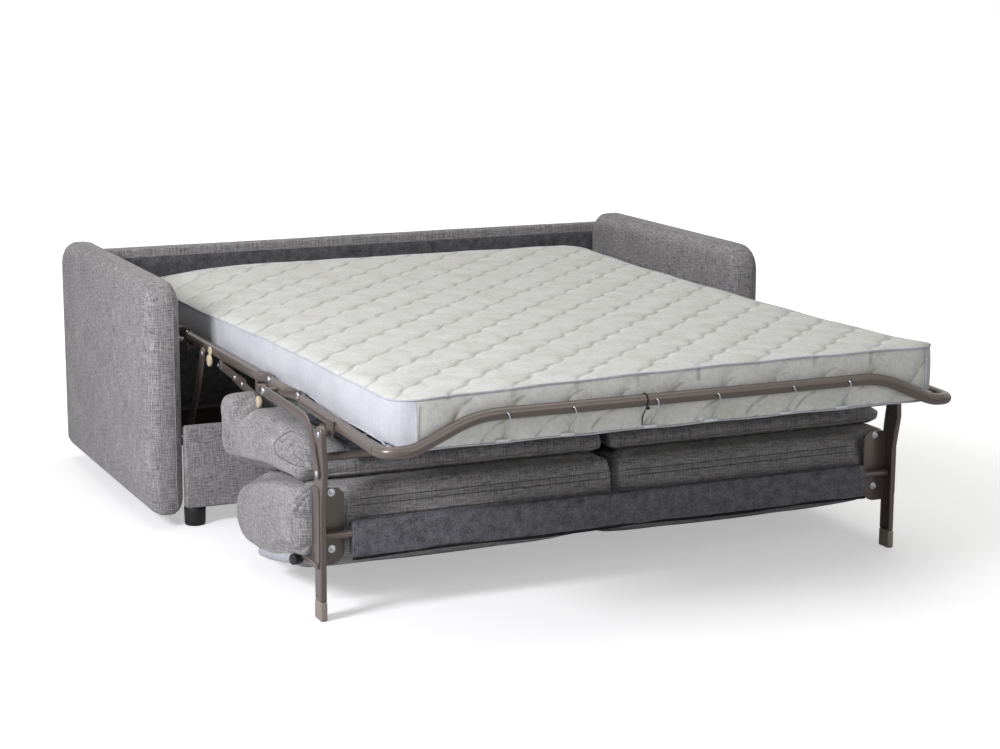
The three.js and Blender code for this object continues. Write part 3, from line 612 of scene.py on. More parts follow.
class SOFA_OT_arms(bpy.types.Operator):
    """Covers both arms: two side panels and a gusset, sewn at the edges."""

    bl_idname = "sofa.arms"
    bl_label = "Arms"

    def execute(self, context):
        lo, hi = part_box("arm_right")
        edge = 0.038
        body = upholstered("arm_cover", (lo.x, lo.y, lo.z), (hi.x + 0.002, hi.y, hi.z + 0.001), 0.072, edge, 0.005, 3,
                           lambda y, z: z > 0.3)
        co = points(body)
        # the gusset is puckered where it turns over the front top corner
        turn = np.hypot(co[:, 1] - (lo.y + 0.07), co[:, 2] - (hi.z - 0.07))
        corner = np.clip((co[:, 2] - hi.z + 0.13) / 0.08, 0, 1) * np.clip((lo.y + 0.13 - co[:, 1]) / 0.08, 0, 1)
        angle = np.arctan2(co[:, 2] - (hi.z - 0.07), -(co[:, 1] - (lo.y + 0.07)))
        middle = np.exp(-((co[:, 0] - (lo.x + hi.x) / 2) / 0.034) ** 4)
        pucker = corner * middle * 0.0022 * np.sin(angle * 17 + co[:, 0] * 40)
        away = np.maximum(turn, 1e-6)
        co[:, 1] += pucker * (co[:, 1] - (lo.y + 0.07)) / away
        co[:, 2] += pucker * (co[:, 2] - (hi.z - 0.07)) / away
        set_points(body, co)
        arm, twin = both_sides(body, "arm_cover", "base", MATERIALS["fabric"], ["arm"], True)
        # a plain seam joins the front band to the inner panel, a blind one joins the outer panel to the band
        for x, tag, reach, key in ((lo.x + 0.021, "inner", 0.0013, "fabric"), (hi.x - 0.030, "outer", 0.0009, "fabric")):
            y0, y1, z0, z1 = lo.y - 0.001, hi.y + 0.001, lo.z - 0.001, hi.z + 0.001
            r = 0.07
            turns = np.linspace(0.15, math.pi / 2 - 0.15, 7)
            path = [(x, y0, z0 + 0.02), (x, y0, z1 - r)]
            path += [(x, y0 + r - r * math.cos(t), z1 - r + r * math.sin(t)) for t in turns]
            path += [(x, y0 + r, z1), (x, y1 - r, z1)]
            path += [(x, y1 - r + r * math.sin(t), z1 - r + r * math.cos(t)) for t in turns]
            path += [(x, y1, z1 - r), (x, y1, z0 + 0.02)]
            seam = tube("arm_seam", drawn_on(arm, path, 0.0002), reach, sides=2)
            both_sides(seam, "arm_seam_" + tag, "base", MATERIALS[key], cloth=True)
        return {"FINISHED"}


def drawn_on(obj, path, lift=0.0, spacing=0.012, way=None):
    """A path laid on the object: on its nearest surface, or on the one met along a given way."""
    tree = BVHTree.FromObject(obj, bpy.context.evaluated_depsgraph_get())
    dense = []
    path = [Vector(p) for p in path]
    for a, b in zip(path, path[1:]):
        n = max(1, int((b - a).length / spacing))
        dense += [a.lerp(b, k / n) for k in range(n)]
    dense.append(path[-1])
    out = []
    for p in dense:
        hit, normal, _, _ = tree.ray_cast(p, Vector(way)) if way else tree.find_nearest(p)
        if hit is not None:
            out.append(hit + normal * lift)
    return out


class SOFA_OT_back_and_base(bpy.types.Operator):
    """Covers the back panel and front rail, and adds the feet."""

    bl_idname = "sofa.back_and_base"
    bl_label = "Back and base"

    def execute(self, context):
        lo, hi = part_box("back_panel")
        # the panel runs on behind the arms' rounded edges, so that no light shows between them
        lo.x, hi.x = lo.x - 0.016, hi.x + 0.016
        deselect()
        bpy.ops.mesh.primitive_cube_add(size=1, location=(lo + hi) / 2, scale=hi - lo)
        back = settle(named("back_cover"))
        pick(back, "EDGE", lambda e: all(v.co.z > hi.z - 1e-5 for v in e.verts)
             and abs(e.verts[0].co.x - e.verts[1].co.x) > 0.1)
        bpy.ops.mesh.bevel(offset=0.0112, segments=8, affect="EDGES")
        leave()
        pick(back, "FACE", lambda f: abs(f.normal.x) < 0.5)
        bpy.ops.mesh.subdivide(number_cuts=24)
        leave()
        co = points(back)
        co[:, 2] += np.where(co[:, 2] > hi.z - 0.03, ripple(co, 5, 0.3, 0.0016), 0)
        set_points(back, co)
        smooth(back, 50)
        finish_piece(back, "base", MATERIALS["fabric"], ["back_panel"], True)
        lo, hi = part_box("front_rail")
        rail = block("front_rail_cover", (lo.x, lo.y, lo.z - 0.021), hi, 0.008, 5)
        finish_piece(rail, "base", MATERIALS["fabric"], ["front_rail"], True)
        for tag in ("front", "rear"):
            lo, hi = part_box(f"foot_{tag}_right")
            hi.z = min(hi.z, 0.049) if tag == "front" else hi.z
            mid = (lo + hi) / 2
            foot = bar("foot", (mid.x, mid.y, lo.z), (mid.x, mid.y, hi.z), (hi.x - lo.x) / 2, 4, 40, 0.0035)
            co = points(foot)
            taper = 0.94 + 0.06 * np.clip((co[:, 2] - lo.z) / (hi.z - lo.z), 0, 1)
            co[:, 0] = mid.x + (co[:, 0] - mid.x) * taper
            co[:, 1] = mid.y + (co[:, 1] - mid.y) * taper
            set_points(foot, co)
            both_sides(foot, f"foot_{tag}_moulded", "base", MATERIALS["black"], [f"foot_{tag}"])
        lo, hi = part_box("back_lining")
        inner_lining = block("inner_lining", lo, (hi.x, hi.y, 0.5885), 0.0012, 2)
        pick(inner_lining, "FACE", lambda f: f.normal.y < -0.9)
        bpy.ops.mesh.subdivide(number_cuts=24)
        leave()
        co = points(inner_lining)
        co[:, 1] -= np.where(co[:, 1] < lo.y + 0.0004, np.abs(ripple(co, 9, 0.18, 0.0022)), 0)
        set_points(inner_lining, co)
        finish_piece(smooth(inner_lining), "base", MATERIALS["lining"], ["back_lining"])
        for name, key in (("rear_beam", "stained"), ("side_plate_right", "paint"), ("side_plate_left", "paint")):
            dress(name, key)
        return {"FINISHED"}


def dress(node, key):
    """Gives a kept CAD node its finish."""
    data = FRAME["nodes"][node].data
    data.materials.clear()
    data.materials.append(MATERIALS[key])


# Steel frame
def rivet(name, at, radius, height, body, material="zinc", side=1):
    """A domed rivet head whose axis runs along X, pulled from a disc and drawn in."""
    deselect()
    bpy.ops.mesh.primitive_circle_add(vertices=18, radius=radius, fill_type="NGON")
    obj = named(name)
    bpy.ops.object.mode_set(mode="EDIT")
    bpy.ops.mesh.select_all(action="SELECT")
    for k in range(4):
        bpy.ops.mesh.extrude_region_move(TRANSFORM_OT_translate={"value": (0, 0, height / 4)})
        s = math.sqrt(max(0.05, 1 - ((k + 1) / 4.4) ** 2)) / math.sqrt(max(0.05, 1 - (k / 4.4) ** 2))
        bpy.ops.transform.resize(value=(s, s, 1))
    bpy.ops.mesh.select_all(action="SELECT")
    bpy.ops.mesh.normals_make_consistent(inside=False)
    leave()
    obj.matrix_world = Matrix.Translation(at) @ Matrix.Rotation(math.radians(90) * side, 4, "Y")
    return finish_piece(smooth(settle(obj), 60), body, MATERIALS[material])


def rail(name, y0, z0, y1, z1, tips, x=0.727, radius=0.014):
    """A tube whose ends are pressed flat, shifted to their lug's plane and rounded. tips maps 0 or 1 to that plane."""
    a, b = Vector((x, y0 + SHIFT, z0)), Vector((x, y1 + SHIFT, z1))
    length = (b - a).length
    obj = bar(name, a, b, radius, max(12, int(length / 0.012)), 28)
    co = points(obj)
    way = np.array((b - a).normalized())
    along = (co - np.array(a)) @ way
    for end, plane in tips.items():
        s = along if end == 0 else length - along
        flat = 1 - np.clip((s - 0.034) / 0.034, 0, 1)
        flat = flat * flat * (3 - 2 * flat)
        pressed = plane + (co[:, 0] - x) / radius * 0.0019
        co[:, 0] = co[:, 0] * (1 - flat) + pressed * flat
        centre = np.array(a if end == 0 else b)[2]
        tip = np.clip((radius - s) / radius, 0, 1)
        co[:, 2] = np.where(s < radius, centre + (co[:, 2] - centre) * np.sqrt(np.maximum(0.02, 1 - tip ** 2)),
                            co[:, 2] + (co[:, 2] - (centre + 0)) * 0.04 * flat)
    set_points(obj, co)
    return smooth(obj, 45)


class SOFA_OT_folding_frame(bpy.types.Operator):
    """Bends and presses the tubes of the folding frame, and finishes the swing arms."""

    bl_idname = "sofa.folding_frame"
    bl_label = "Folding frame"

    def execute(self, context):
        paint = MATERIALS["paint"]
        z, inner, outer, r = 0.465, 0.715, 0.7193, 0.014
        hinges = {"a": 0.280, "b": -0.410, "c": -0.620}
        both_sides(rail("mid", hinges["b"] - r, z, hinges["a"] + r, z, {0: inner, 1: inner}),
                   "mid_rail_tube", "middle_frame", paint, ["mid_rail"])
        both_sides(rail("head", hinges["a"] - r, z, 0.734, z, {0: outer}),
                   "head_rail_tube", "head_frame", paint, ["head_rail"])
        link = rail("link", hinges["c"] - r, z, hinges["b"] + r, z, {0: outer, 1: outer})
        strut_face, leg_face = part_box("strut_right")[1].x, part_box("leg_right")[1].x
        pin = bar("pin", (0.741, -0.530 + SHIFT, z), (strut_face + 0.0002, -0.530 + SHIFT, z), 0.006, 1, 20, 0.0008)
        both_sides(joined("link", [link, pin]), "fold_link_tube", "fold_links", paint, ["fold_link"])
        foot = rail("foot", hinges["c"] + r, z, -1.1452, 0.447, {0: inner})
        both_sides(foot, "foot_rail_tube", "foot_frame", paint, ["foot_rail"])
        half = [(0.727, -1.1460, 0.447)]
        for t in np.linspace(0.15, 0.95, 8):
            half.append((0.727 - 0.064 * t * t, -1.146 - 0.054 * (2 * t - t * t), 0.447 + 0.006 * t * t))
        half += [(0.648, -1.200, 0.4585), (0.518, -1.200, 0.516)]
        path = [(x, y + SHIFT, h) for x, y, h in half]
        loop = tube("foot_bar_tube", path + [(-x, y, h) for x, y, h in path[::-1]], r, 0.055, 7)
        finish_piece(loop, "foot_frame", paint, ["foot_bar"])
        for name, body, radius in (("mid_cross_tube_front", "middle_frame", 0.010),
                                   ("mid_cross_tube_rear", "middle_frame", 0.010),
                                   ("head_cross_tube", "head_frame", 0.010),
                                   ("foot_cross_tube", "foot_frame", 0.010)):
            lo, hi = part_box(name)
            mid = (lo + hi) / 2
            rod = bar(name + "_smooth", (lo.x, mid.y, mid.z), (hi.x, mid.y, mid.z), radius, 1, 24, 0.001)
            finish_piece(rod, body, paint, [name])
        bars = []
        for line, wide, near in (([(-0.028, 0.4335), (-0.120, 0.4275), (-0.235, 0.4205)], 0.024, 0.7235),
                                 ([(-0.150, 0.4275), (-0.235, 0.4160), (-0.372, 0.4030)], 0.026, 0.7272)):
            bars.append(plate("bar", [(a + SHIFT, b) for a, b in strip_outline(line, wide)], near, near + 0.0034,
                              0.0008))
        for y in (-0.046, -0.336):
            bars.append(bar("hanger", (0.7262, y + SHIFT, 0.452), (0.7262, y + SHIFT, 0.425), 0.0055, 1, 16, 0.0008))
        both_sides(joined("tie", bars), "tie_bar_riveted", "middle_frame", paint, ["tie_rod"])
        roller = bar("roller", (0.7413, SHIFT, z), (0.7452, SHIFT, z), 0.013, 1, 32, 0.0012)
        both_sides(roller, "roller_turned", "middle_frame", MATERIALS["nylon"], ["roller"])
        for tag, y, height, near in (("front", -0.372, 0.4030, 0.7310), ("rear", -0.0135, 0.4440, 0.7452)):
            bush = bar("bush", (near, y + SHIFT, height), (near + 0.0085, y + SHIFT, height), 0.0150, 1, 32, 0.0022)
            both_sides(bush, f"bushing_{tag}", "middle_frame", MATERIALS["nylon"])
        for node in FRAME["nodes"]:
            if node.startswith(("swing_arm", "leg_lug")):
                dress(node, "paint")
            elif node.startswith("support_mesh"):
                dress(node, "wire")
        for side, tag in ((1, "right"), (-1, "left")):
            for key, y in hinges.items():
                body = {"a": "middle_frame", "b": "middle_frame", "c": "fold_links"}[key]
                rivet(f"hinge_rivet_{key}_{tag}", (side * 0.7215, y + SHIFT, z), 0.0085, 0.0035, body, "zinc", side)
            for y, height in ((-0.028, 0.4335), (-0.225, 0.4195), (-0.165, 0.4255)):
                rivet(f"bar_rivet_{tag}_{int(-y * 1000)}", (side * 0.7306, y + SHIFT, height), 0.0055, 0.0025,
                      "middle_frame", "zinc", side)
            for body, y, x in (("swing_front", 0.050, 0.7513), ("swing_rear", 0.250, 0.7576)):
                rivet(f"{body}_rivet_{tag}", (side * x, y + SHIFT, 0.452), 0.008, 0.0035, body, "zinc", side)
            for name, body, x, y, height, size in (
                    ("strut_rivet", "struts", strut_face, -0.530, z, 0.008),
                    ("strut_foot_rivet", "struts", strut_face, -0.900, 0.345, 0.007),
                    ("leg_rivet", "leg_and_back", leg_face, -0.900, 0.435, 0.007)):
                rivet(f"{name}_{tag}", (side * x, y + SHIFT, height), size, size * 0.43, body, "zinc", side)
        return {"FINISHED"}


class SOFA_OT_legs(bpy.types.Operator):
    """Shapes the legs, their caps and brackets, the crossbars and the bent struts."""

    bl_idname = "sofa.legs"
    bl_label = "Legs"

    def execute(self, context):
        paint = MATERIALS["paint"]
        lo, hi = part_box("leg_right")
        low, rear, inner = lo.z, hi.y, lo.x
        near, belly, pivot, head = -0.908 + SHIFT, -0.926 + SHIFT, Vector((-0.900 + SHIFT, 0.435)), 0.019
        arc = [(pivot.x + head * math.cos(t), pivot.y + head * math.sin(t))
               for t in np.radians(np.linspace(-35, 215, 15))]
        outline = [(near, low), (rear, low), (rear, 0.310), *arc, (belly + 0.001, 0.372), (belly, 0.345),
                   (near - 0.0005, 0.262)]
        leg = plate("leg", outline, lo.x, hi.x, 0)
        # the inner face is pressed in, so that the leg is a channel with rolled edges
        pick(leg, "FACE", lambda f: f.normal.x < -0.9)
        bpy.ops.mesh.inset(thickness=0.0028, depth=0)
        bpy.ops.mesh.extrude_region_move(TRANSFORM_OT_translate={"value": (hi.x - lo.x - 0.0032, 0, 0)})
        leave()
        pick(leg, "EDGE", lambda e: e.calc_face_angle(0) > 0.75 and max(v.co.x for v in e.verts) > hi.x - 1e-5)
        bpy.ops.mesh.bevel(offset=0.0034, segments=4, affect="EDGES")
        leave()
        pick(leg, "EDGE", lambda e: e.calc_face_angle(0) > 0.75 and min(v.co.x for v in e.verts) < lo.x + 1e-5)
        bpy.ops.mesh.bevel(offset=0.0011, segments=2, affect="EDGES")
        leave()
        both_sides(smooth(leg, 50), "leg_pressed", "leg_and_back", paint, ["leg"])
        lo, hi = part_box("leg_cap_right")
        both_sides(block("cap", lo, hi, 0.0032, 4), "leg_cap_moulded", "leg_and_back", MATERIALS["cap"],
                   ["leg_cap"])
        # the bracket is a plate with snipped inner corners, folded forward at its outer edge beyond the leg
        lo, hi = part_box("leg_bracket_right")
        foot, snip, curve = 0.034, 0.014, []
        for k in range(7):
            t = math.radians(15 * k)
            curve.append((lo.x + foot * (1 - math.cos(t)), lo.z + foot * (1 - math.sin(t))))
        outline = [*curve, (hi.x, lo.z), (hi.x, hi.z), (lo.x + snip, hi.z), (lo.x, hi.z - snip)]
        deselect()
        bpy.ops.mesh.primitive_circle_add(vertices=len(outline), radius=0.1, fill_type="NGON")
        web = named("web")
        set_points(web, [(x, hi.y - 0.004, z) for x, z in outline])
        bpy.ops.object.mode_set(mode="EDIT")
        bpy.ops.mesh.select_all(action="SELECT")
        bpy.ops.mesh.extrude_region_move(TRANSFORM_OT_translate={"value": (0, 0.0038, 0)})
        bpy.ops.mesh.select_all(action="SELECT")
        bpy.ops.mesh.normals_make_consistent(inside=False)
        leave()
        pick(web, "EDGE", lambda e: e.calc_face_angle(0) > 0.5)
        bpy.ops.mesh.bevel(offset=0.0009, segments=2, affect="EDGES")
        leave()
        smooth(web)
        face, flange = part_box("leg_right")[1].x + 0.0002, 0.0022
        rise = [(hi.y, hi.z + 0.012), (hi.y - 0.030, hi.z + 0.012), (hi.y - 0.038, hi.z), (hi.y - 0.038, lo.z + 0.030)]
        rise += [(hi.y - 0.019 - 0.019 * math.cos(t), lo.z + 0.027 - 0.019 * math.sin(t))
                 for t in np.radians(np.linspace(15, 90, 6))]
        rise += [(hi.y + 0.010, lo.z + 0.010), (hi.y + 0.010, hi.z + 0.006)]
        wing = plate("wing", rise, face, face + flange, 0.0008)
        wrap = block("wrap", (hi.x - 0.004, hi.y + 0.0004, lo.z + 0.012), (face + flange, hi.y + 0.0042, hi.z - 0.006),
                     0.0010, 3)
        both_sides(joined("bracket", [web, wing, wrap]), "leg_bracket_folded", "leg_and_back", paint,
                   ["leg_bracket"])
        for side, tag in ((1, "right"), (-1, "left")):
            for z in (0.2905, 0.1580):
                x, front = side * 0.7315, hi.y - 0.004
                bolt = bar("bolt", (x, front, z), (x, front - 0.0058, z), 0.0066, 1, 6, 0.0008)
                stub = bar("stub", (x, front, z), (x, front - 0.0100, z), 0.0034, 1, 16, 0.0005)
                washer = bar("washer", (x, front, z), (x, front - 0.0013, z), 0.0090, 1, 28, 0.0003)
                finish_piece(joined(f"bracket_bolt_{tag}_{int(z * 1000)}", [bolt, stub, washer]), "leg_and_back",
                             MATERIALS["zinc"])
        for name, radius in (("lower_crossbar", 0.009), ("upper_crossbar", 0.0095)):
            lo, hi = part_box(name)
            mid = (lo + hi) / 2
            rod = bar(name + "_smooth", (lo.x, mid.y, mid.z), (hi.x, mid.y, mid.z), radius, 1, 24, 0.001)
            finish_piece(rod, "leg_and_back", paint, [name])
        line = [(-0.530, 0.465), (-0.700, 0.4612), (-0.800, 0.4585), (-0.832, 0.4525), (-0.853, 0.4385),
                (-0.868, 0.417), (-0.900, 0.345)]
        near, far = (corner.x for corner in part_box("strut_right"))
        strut = plate("strut", [(a + SHIFT, b) for a, b in strip_outline(line, 0.026)], near, far, 0.0018)
        both_sides(strut, "strut_bent", "struts", paint, ["strut"])
        return {"FINISHED"}


# Mattress
PLAN = {"half": 0.700, "head": 0.760, "foot": -1.183, "corner": 0.075, "low": 0.455, "high": 0.560}


def edge_distance(x, y):
    """How far a point lies inside the mattress's plan, and the way out to its edge."""
    half, r = PLAN["half"], PLAN["corner"]
    mid, deep = (PLAN["head"] + PLAN["foot"]) / 2 + SHIFT, (PLAN["head"] - PLAN["foot"]) / 2
    px, py = np.abs(x) - (half - r), np.abs(y - mid) - (deep - r)
    ax, ay = np.maximum(px, 0), np.maximum(py, 0)
    away = np.hypot(ax, ay)
    corner = (px > 0) & (py > 0)
    d = np.where(corner, r - away, r - np.maximum(px, py))
    nx = np.where(corner, ax / np.maximum(away, 1e-9), (px >= py) * 1.0) * np.sign(x)
    ny = np.where(corner, ay / np.maximum(away, 1e-9), (px < py) * 1.0) * np.sign(y - mid)
    return d, nx, ny


def quilt_lines(u, v, pitch):
    """How many stitched lines of each family lie before a point of a quilted panel, as wavy diamonds."""
    a, b = (u + v) / math.sqrt(2), (v - u) / math.sqrt(2)
    wave = 0.050 * pitch
    return ((a + wave * np.sin(2 * math.pi * b / pitch)) / pitch,
            (b + wave * np.sin(2 * math.pi * a / pitch)) / pitch)


def quilting(u, v, pitch):
    """Height of a quilted panel, 0 on a stitched line and 1 on a pillow: one family is sewn deeper."""
    light, deep = quilt_lines(u, v, pitch)
    one, two = (1 - 2 * np.abs(n - np.round(n)) for n in (deep, light))
    return np.sqrt(1 - one ** 4) * (0.86 + 0.14 * np.sqrt(1 - two ** 4))


DROP = 0.0090  # how far the top's edge lies below its middle


# how far the foam is pressed together in the closed sofa
PRESSED = {"mattress_foot_quilted": ("foot_fold", 0.84), "mattress_mid_quilted": ("link_fold", 0.95),
           "mattress_head_quilted": ("head_fold", 0.25)}


def arch(y):
    """How far the underside stands clear of the frame between the two folds."""
    return 0.009 * smooth_step(y - SHIFT, -0.74, -0.67) * (1 - smooth_step(y - SHIFT, -0.36, -0.28))


def lie(x, y):
    """How far the mattress's top stands off its level: up over the foot bar and the head, down on the left."""
    side = x / PLAN["half"]
    rise = 0.004 + 0.009 * (1 - side ** 2) + 0.010 * (side + 1)
    rise = rise * np.exp(-np.abs(y - (PLAN["foot"] + SHIFT)) / 0.30)
    rise = rise + 0.015 * np.exp(-np.abs(y - (PLAN["head"] + SHIFT)) / 0.16)
    droop = smooth_step(-x, 0.40, 0.72) * smooth_step(y - SHIFT, -0.60, 0.50)
    return rise - 0.022 * droop


def sliced(obj, at, sign, hollow):
    """Cuts off what lies past a depth, and closes the cut: a hollow shell's one loop gets one flat face."""
    only(obj)
    bpy.ops.object.mode_set(mode="EDIT")
    bpy.ops.mesh.select_all(action="SELECT")
    bpy.ops.mesh.bisect(plane_co=(0, at, 0.5), plane_no=(0, sign, 0), clear_outer=True, use_fill=not hollow)
    leave()
    if hollow:
        pick(obj, "EDGE", lambda e: e.is_boundary and all(abs(v.co.y - at) < 1e-5 for v in e.verts))
        bpy.ops.mesh.edge_face_add()
        leave()


class SOFA_OT_mattress(bpy.types.Operator):
    """Quilts the mattress as one shell, edges it with tape, and cuts it into the runs that fold."""

    bl_idname = "sofa.mattress"
    bl_label = "Mattress"

    def execute(self, context):
        sizes = context.scene.sofa_sizes
        half, low, high = PLAN["half"], PLAN["low"], PLAN["high"]
        near, far = PLAN["foot"] + SHIFT, PLAN["head"] + SHIFT
        cell = 0.0054
        deselect()
        bpy.ops.mesh.primitive_grid_add(x_subdivisions=int(2 * half / cell), y_subdivisions=int((far - near) / cell),
                                        size=1, location=(0, (near + far) / 2, high))
        shell = named("mattress_shell")
        shell.scale = (2 * half, far - near, 1)
        settle(shell)
        # the square corners of the grid are drawn round
        co = points(shell)
        r, mid = PLAN["corner"], (near + far) / 2
        px = np.clip(np.abs(co[:, 0]) - (half - r), 0, None) / r
        py = np.clip(np.abs(co[:, 1] - mid) - ((far - near) / 2 - r), 0, None) / r
        qx, qy = px * np.sqrt(1 - py ** 2 / 2), py * np.sqrt(1 - px ** 2 / 2)
        co[:, 0] += np.sign(co[:, 0]) * (qx - px) * r
        co[:, 1] += np.sign(co[:, 1] - mid) * (qy - py) * r
        set_points(shell, co)
        only(shell)
        bpy.ops.object.mode_set(mode="EDIT")
        bpy.ops.mesh.select_all(action="SELECT")
        bpy.ops.mesh.duplicate_move(TRANSFORM_OT_translate={"value": (0, 0, low - high)})
        bpy.ops.mesh.flip_normals()
        leave()
        pick(shell, "EDGE", lambda e: e.is_boundary and e.verts[0].co.z > (low + high) / 2)
        rows = 14
        for _ in range(rows):
            bpy.ops.mesh.extrude_region_move(TRANSFORM_OT_translate={"value": (0, 0, (low - high) / rows)})
        bpy.ops.mesh.select_all(action="SELECT")
        bpy.ops.mesh.remove_doubles(threshold=0.0001)
        bpy.ops.mesh.normals_make_consistent(inside=False)
        leave()
        self.sculpt(shell, sizes, low, high, rows)
        smooth(shell, 70)
        lay_cloth(shell)
        for key in ("ticking", "border", "tape"):
            shell.data.materials.append(MATERIALS[key])
        self.share_out(shell, sizes.quilt_pitch)
        self.cut(shell, [self.tape(high - DROP + 0.0006), self.tape(low + 0.003)])
        self.stitching()
        self.ties()
        return {"FINISHED"}

    def sculpt(self, shell, sizes, low, high, rows):
        """Fills the panels out between the stitched lines and draws the edges in to the tape."""
        co = points(shell)
        level = (high - co[:, 2]) / (high - low)
        d, nx, ny = edge_distance(co[:, 0], co[:, 1])
        inside = np.clip(d, 0, None)
        pillow = quilting(co[:, 0], co[:, 1], sizes.quilt_pitch)
        crown = 0.0035 * (1 - (co[:, 0] / PLAN["half"]) ** 2)
        puff = (pillow - 0.75) * sizes.quilt_depth * (0.25 + 0.75 * np.clip(inside / 0.03, 0, 1))
        sag = ripple(co * (1, 1, 0), 11, 0.45, 0.0022) * np.clip(inside / 0.05, 0, 1)
        lift = lie(co[:, 0], co[:, 1])
        top = level < 1e-4
        bottom = level > 1 - 1e-4
        side = ~(top | bottom)
        z = co[:, 2].copy()
        z[top] = (high - DROP * np.exp(-inside / 0.019) + crown * np.clip(inside / 0.1, 0, 1) + puff + sag + lift)[top]
        sags = 0.010 * smooth_step(-ny, 0.3, 0.9) * np.exp(-(inside / 0.03) ** 2)
        base = low + arch(co[:, 1])
        z[bottom] = (base + 0.0025 * np.exp(-inside / 0.018) - sags)[bottom]
        # the foot and head borders are quilted too, the long sides are smooth with slight pulls
        swell = np.sin(math.pi * np.clip(level, 0, 1)) ** 0.6
        quilted = smooth_step(-np.abs(co[:, 0]), -0.660, -0.645)
        sewn = quilting(co[:, 0], co[:, 2] * 1.15 + 0.03, sizes.quilt_pitch * 0.86)
        out = swell * (0.0034 + quilted * sewn * 0.0044)
        pulls = ripple(np.stack([co[:, 1] * 1.0, co[:, 0] * 0.2, co[:, 2] * 0.15], 1), 21, 0.050, 0.0042)
        out += (1 - quilted) * swell * pulls
        co[side, 0] += (nx * out)[side]
        co[side, 1] += (ny * out)[side]
        seam = high - DROP + lift
        hang = 0.010 * smooth_step(-ny, 0.3, 0.9)
        z[side] = (base - hang + (seam - base + hang) * (1 - level))[side]
        co[:, 2] = z
        set_points(shell, co)

    def share_out(self, shell, pitch):
        """Face by face: quilted ticking on top, below and at the ends, smooth jersey along the sides."""
        mesh = shell.data
        n = len(mesh.polygons)
        centre, normal = np.empty(n * 3), np.empty(n * 3)
        mesh.polygons.foreach_get("center", centre)
        mesh.polygons.foreach_get("normal", normal)
        centre, normal = centre.reshape(-1, 3), normal.reshape(-1, 3)
        upright = np.abs(normal[:, 2]) < 0.6
        border = upright & (np.abs(centre[:, 0]) > 0.652)
        mesh.polygons.foreach_set("material_index", border.astype(np.int32))
        totals, owner = np.empty(n, int), np.empty(len(mesh.loops), int)
        mesh.polygons.foreach_get("loop_total", totals)
        mesh.loops.foreach_get("vertex_index", owner)
        co, upright = points(shell)[owner], np.repeat(upright & (np.abs(centre[:, 2] - 0.503) < 0.046), totals)
        flat = quilt_lines(co[:, 0], co[:, 1], pitch)
        ends = quilt_lines(co[:, 0], co[:, 2] * 1.15 + 0.03, pitch * 0.86)
        layer = mesh.uv_layers.new(name="quilt")
        counts = [np.where(upright, e, f) for e, f in zip(ends, flat)]
        layer.data.foreach_set("uv", np.stack(counts, 1).ravel())

    def tape(self, z):
        """A woven tape that binds the edge, sewn on with a slightly uneven hand."""
        half, r = PLAN["half"] + 0.0008, PLAN["corner"]
        near, far = PLAN["foot"] + SHIFT - 0.0008, PLAN["head"] + SHIFT + 0.0008
        path = []
        for cx, cy, turn in ((1, -1, -90), (1, 1, 0), (-1, 1, 90), (-1, -1, 180)):
            for k in range(13):
                t = math.radians(turn + 90 * k / 12)
                x = cx * (half - r) + r * math.cos(t)
                y = (near + r if cy < 0 else far - r) + r * math.sin(t)
                path.append((x, y, z))
        dense = []
        for a, b in zip(path, path[1:] + path[:1]):
            a, b = Vector(a), Vector(b)
            n = max(1, int((b - a).length / 0.02))
            for k in range(n):
                p = a.lerp(b, k / n)
                p.z += 0.0010 * math.sin(p.x * 29 + p.y * 19) + (lie(p.x, p.y) if z > 0.5 else 0)
                if z < 0.5:
                    p.z += arch(p.y)
                    p.z -= 0.010 * (1 - min(1.0, max(0.0, p.y - near) / r)) ** 0.5
                dense.append(p)
        obj = tube("tape", dense, 0.0023, cyclic=True, sides=3)
        lay_cloth(obj)
        obj.data.uv_layers.new(name="quilt")
        for key in ("ticking", "border", "tape"):
            obj.data.materials.append(MATERIALS[key])
        obj.data.polygons.foreach_set("material_index", [2] * len(obj.data.polygons))
        return obj

    def cut(self, shell, tapes):
        """Cuts the shell at the folds; each run on a frame rides on it, and those between two frames stay where they
        lie.
        """
        runs = [
            ("mattress_foot_quilted", None, -0.668, "foot_frame", None, ["mattress_foot"]),
            ("mattress_fold_foot_quilted", -0.668, -0.515, None, ("foot_frame", "fold_links", -0.655, -0.545), []),
            ("mattress_fold_front_quilted", -0.515, -0.365, None, ("fold_links", "middle_frame", -0.485, -0.375),
             ["mattress_fold_front"]),
            ("mattress_mid_quilted", -0.365, 0.225, "middle_frame", None, ["mattress_mid"]),
            ("mattress_fold_rear_quilted", 0.225, 0.400, None, ("middle_frame", "head_frame", 0.235, 0.39),
             ["mattress_fold_rear"]),
            ("mattress_head_quilted", 0.400, None, "head_frame", None, ["mattress_head"]),
        ]
        for name, start, end, body, bend, nodes in runs:
            parts = []
            for source in (shell, *tapes):
                part = source.copy()
                part.data = source.data.copy()
                bpy.context.scene.collection.objects.link(part)
                for at, sign in ((start, -1), (end, 1)):
                    if at is not None:
                        sliced(part, at + SHIFT, sign, source is shell)
                parts.append(part)
            run = joined(name, parts)
            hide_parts(*nodes)
            if body:
                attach(run, body)
            else:
                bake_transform(run)
            smooth(run, 70)
            if name in PRESSED:
                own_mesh(run)
        for source in (shell, *tapes):
            bpy.data.objects.remove(source)

